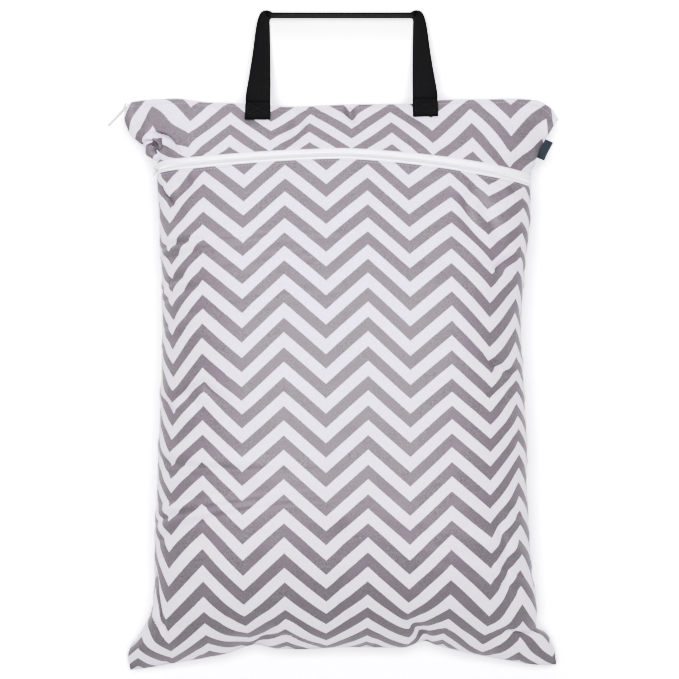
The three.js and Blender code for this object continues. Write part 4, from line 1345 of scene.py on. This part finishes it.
def handle_sections():
    """Middle, direction across and face of each section, from the left end to the right one."""
    legs = []
    for side in (-1, 1):
        rows = [dict(zip(LEG_COLUMNS, row)) for row in HANDLE_LEG]
        outline = LEFT if side < 0 else RIGHT
        inner_x = rows[0]["inner"] * (HANDLE_SPAN / 2) * side
        outer_x = inner_x + side * WEBBING_WIDTH

        def on_wall(x, at):
            return front_point(x / (HALF * outline["out"](at)), at)

        def middle(at):
            return (on_wall(inner_x, at) + on_wall(outer_x, at)) / 2

        foot_at = 1 - SEWN_LENGTH * SEWN_FORESHORTENING / BODY_LENGTH
        top, foot = middle(1.0), middle(foot_at)
        seam_y = max(on_wall(inner_x, 1.0)[1], on_wall(outer_x, 1.0)[1])
        down = unit(foot - top)
        flat = on_wall(outer_x, foot_at) - on_wall(inner_x, foot_at)
        flat = unit(flat - down * (flat @ down))
        face = unit(np.cross(down, flat) * side)
        under = SEWN_SEAT + WEBBING_THICKNESS / 2
        over = under + WEBBING_THICKNESS + CLEARANCE
        turn = (over - under) / 2
        leg = [(top + face * under, flat, -face), (foot + face * under, flat, -face)]
        for angle in np.radians(SEWN_TURN):
            out = down * math.sin(angle) - face * math.cos(angle)
            leg.append((foot + face * (under + turn) + out * turn, flat, out))
        leg.append((foot + face * over, flat, face))
        leg.append((top + face * over, flat, face))
        seam_top = top + face * over
        far_y = BODY_LENGTH - BOTTOM_TO_ORIGIN + HANDLE_REACH
        for row in rows:
            lean, head = math.radians(row["lean"]), math.radians(row["head"])
            aside = np.array([side * math.cos(lean) * math.cos(head),
                              math.cos(lean) * math.sin(head), math.sin(lean)])
            heading = np.array([-side * math.sin(head), math.cos(head), 0])
            out = unit(np.cross(aside, heading) * side)
            floor = (WEBBING_THICKNESS / 2) * abs(out[2])
            edge = np.array([side * row["inner"] * (HANDLE_SPAN / 2),
                             seam_y + row["reach"] * (far_y - seam_y),
                             floor + row["drop"] * (seam_top[2] - floor)])
            leg.append((edge + aside * WEBBING_WIDTH / 2, aside, out))
        legs.append(leg)
    return legs


def catmull(rows, steps):
    """A smooth run through rows of numbers, with so many steps between each two."""
    rows = np.asarray(rows, float)
    padded = np.concatenate([2 * rows[:1] - rows[1:2], rows, 2 * rows[-1:] - rows[-2:-1]])
    t = np.linspace(0, 1, steps, endpoint=False)[:, None]
    out = []
    for i in range(1, len(padded) - 2):
        p0, p1, p2, p3 = padded[i - 1:i + 3]
        out.append(0.5 * (2 * p1 + (p2 - p0) * t + (2 * p0 - 5 * p1 + 4 * p2 - p3) * t**2
                          + (3 * p1 - p0 - 3 * p2 + p3) * t**3))
    out.append(rows[-1:])
    return np.concatenate(out)


def webbing_profile(count=34):
    """The webbing's section: its place across and its height, round both faces."""
    half, thick = WEBBING_WIDTH / 2, WEBBING_THICKNESS / 2
    x = np.linspace(-1, 1, count)
    edge = np.clip((1 - np.abs(x)) / WEBBING_EDGE, 0, 1) ** 0.5
    rib = 1 + CORD_TALL * np.cos(x * math.pi * WEBBING_CORDS)
    top = np.stack([x * half, thick * edge * rib], -1)
    low = np.stack([x[::-1] * half, -thick * (edge * rib)[::-1]], -1)
    return np.concatenate([top, low[1:-1]])


def loft(middles, asides, outs, profile):
    """Points and faces of a closed tube with the profile at each section."""
    points = middles[:, None] + profile[None, :, :1] * asides[:, None]
    points = points + profile[None, :, 1:] * outs[:, None]
    rows, cols = points.shape[:2]
    i, k = np.meshgrid(np.arange(rows - 1), np.arange(cols), indexing="ij")
    a = i * cols + k
    b = i * cols + (k + 1) % cols
    faces = np.stack([a, b, b + cols, a + cols], -1).reshape(-1, 4).tolist()
    half = cols // 2
    for end, flip in ((0, True), ((rows - 1) * cols, False)):
        for j in range(half):
            p, q = end + j, end + j + 1
            r, s = end + (cols - j - 1) % cols, end + (cols - j) % cols
            face = [p, q, r, s] if j else [p, q, r]
            if q == r:
                face = [p, q, s]
            if len(set(face)) >= 3:
                faces.append(face[::-1] if flip else face)
    return points, faces


def handle():
    left, right = handle_sections()
    ring = left + right[::-1]
    middles = np.array([s[0] for s in ring])
    asides = np.array([s[1] for s in ring])
    outs = np.array([s[2] for s in ring])
    joined = catmull(np.concatenate([middles, asides, outs], 1), SECTIONS_BETWEEN)
    middles, asides, outs = joined[:, :3], unit(joined[:, 3:6]), joined[:, 6:]
    outs = unit(outs - asides * np.sum(outs * asides, 1, keepdims=True))
    profile = webbing_profile()
    points, faces = loft(middles, asides, outs, profile)
    uv = uv_grid(profile[:, 0], arc_of(middles))
    piece("handle_webbing", points.reshape(-1, 3), faces, WEBBING, "handle_strap", uv)


handle()


def box_stitches():
    """A box with a cross on each of the handle's sewn ends."""
    runs = []
    for leg in handle_sections():
        count = len(leg) - len(HANDLE_LEG)
        (foot, aside, face), (top, _, _) = leg[count - 2], leg[count - 1]
        lift = face * (WEBBING_THICKNESS / 2)
        half = aside * (WEBBING_WIDTH / 2 - BOX_INSET)
        inset = unit(top - foot) * BOX_INSET
        low, high = foot + inset + lift, top - inset / 2 + lift
        corners = (low - half, low + half, high + half, high - half)
        for a, b in ((0, 1), (1, 2), (2, 3), (3, 0), (0, 2), (1, 3)):
            line = np.linspace(corners[a], corners[b], BOX_POINTS)
            runs.append(stitch_run(line, np.tile(face, (BOX_POINTS, 1)), BOX_PITCH))
    stitches("handle_stitches", runs, BLACK_THREAD, "webbing", BOX_STITCH)


box_stitches()


def label():
    """A ribbon folded into a loop, whose ends run into the right seam."""
    place = plan(*shares(1.0, [LABEL_AT - FOLD_FADE, LABEL_AT, LABEL_AT + FOLD_FADE]))
    spots = np.stack([place[0], place[1], np.zeros(3)], -1)
    along = unit(spots[2] - spots[0])
    out = np.array([along[1], -along[0], 0])
    seam = spots[1] + [0, 0, float(seam_height(*shares(1.0, LABEL_AT)))]
    turn = math.radians(LABEL_TILT)
    out_tilted = out * math.cos(turn) + np.array([0, 0, math.sin(turn)])
    up = np.cross(out_tilted, along)
    up = up * np.sign(up[2])
    reach = LABEL_REACH - LABEL_ROUND
    t = np.linspace(0, 1, LABEL_STEPS)
    pinched = LABEL_ROUND * (1 - LABEL_PINCH + LABEL_PINCH * np.cos(3 * t))
    bend = np.linspace(math.pi / 2, -math.pi / 2, LABEL_BEND_STEPS)[1:-1]
    path = np.concatenate([
        np.stack([t * reach, pinched], 1),
        np.stack([reach + LABEL_ROUND * np.cos(bend), LABEL_ROUND * np.sin(bend)], 1),
        np.stack([t * reach, -pinched], 1)[::-1],
    ])
    across = np.linspace(-0.5, 0.5, 25)
    sag = LABEL_ROUND * LABEL_SAG * np.cos(across * math.pi * 2)
    height = path[:, None, 1:] + sag[None, :, None] * (path[:, None, :1] / LABEL_REACH)
    outer = seam + out * 2 * CLEARANCE + path[:, None, :1] * out_tilted + height * up \
        + across[None, :, None] * LABEL_LENGTH * along
    inner = outer - normals_of(outer) * LABEL_CLOTH
    points, faces = slab(outer, inner)
    uv = uv_grid(across * LABEL_LENGTH, arc_of(path))
    piece("label_loop", points, faces, LABEL, "label", np.concatenate([uv, uv]))


label()

# The zip sliders and pulls keep the frame's solids
for name in ("top_zip_slider", "top_zip_pull", "pocket_zip_slider", "pocket_zip_pull"):
    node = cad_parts[name]
    node.data.materials.clear()
    node.data.materials.append(METAL)
    rounding = node.modifiers.new("rounding", "BEVEL")
    rounding.width = RIM_ROUND
    rounding.segments = 2


# The room: a pale floor, soft light and the camera

def room():
    floor = bpy.data.meshes.new("floor")
    corners = [(x * FLOOR_SIZE, y * FLOOR_SIZE, 0) for x, y in ((-1, -1), (1, -1), (1, 1), (-1, 1))]
    floor.from_pydata(corners, [], [(0, 1, 2, 3)])
    n = Nodes("floor_paper")
    fine = n.noise(*FLOOR_NOISE)
    floor.materials.append(n.finish(
        Base_Color=n.blend(fine, *(srgb(*shade) for shade in FLOOR_SHADES)), Roughness=FLOOR_DULL,
        Normal=n.bump(fine, *FLOOR_BUMP), Emission_Color=(1, 1, 1, 1), Emission_Strength=FLOOR_GLOW,
    ))
    scene_object("floor", floor)
    world = bpy.data.worlds.new("studio")
    world.use_nodes = True
    sky = world.node_tree.nodes["Background"]
    sky.inputs["Color"].default_value = SKY_COLOUR
    sky.inputs["Strength"].default_value = SKY_LIGHT
    bpy.context.scene.world = world
    for row in LAMPS:
        row = dict(zip(LAMP_COLUMNS, row))
        lamp = bpy.data.lights.new(row["name"], "AREA")
        lamp.shape = "SQUARE"
        lamp.size = row["wide"]
        lamp.energy = row["power"]
        obj = scene_object(row["name"], lamp)
        obj.location = row["place"]
        way = Vector(row["target"]) - Vector(row["place"])
        obj.rotation_euler = way.to_track_quat("-Z", "Y").to_euler()


def camera():
    data = bpy.data.cameras.new("camera")
    data.sensor_width = SENSOR
    data.lens = FOCAL_PIXELS / PICTURE_SIZE * SENSOR
    obj = scene_object("camera", data)
    obj.location = CAMERA_PLACE
    bpy.context.scene.camera = obj


def tone():
    """The camera's response: steep in the greys, with soft highlights."""
    view = bpy.context.scene.view_settings
    view.view_transform = "Standard"
    view.use_curve_mapping = True
    run = view.curve_mapping.curves[3].points
    for light, shown in TONE[1:-1]:
        run.new(light, shown)
    run[-1].location = TONE[-1]
    view.curve_mapping.update()


room()
camera()
tone()
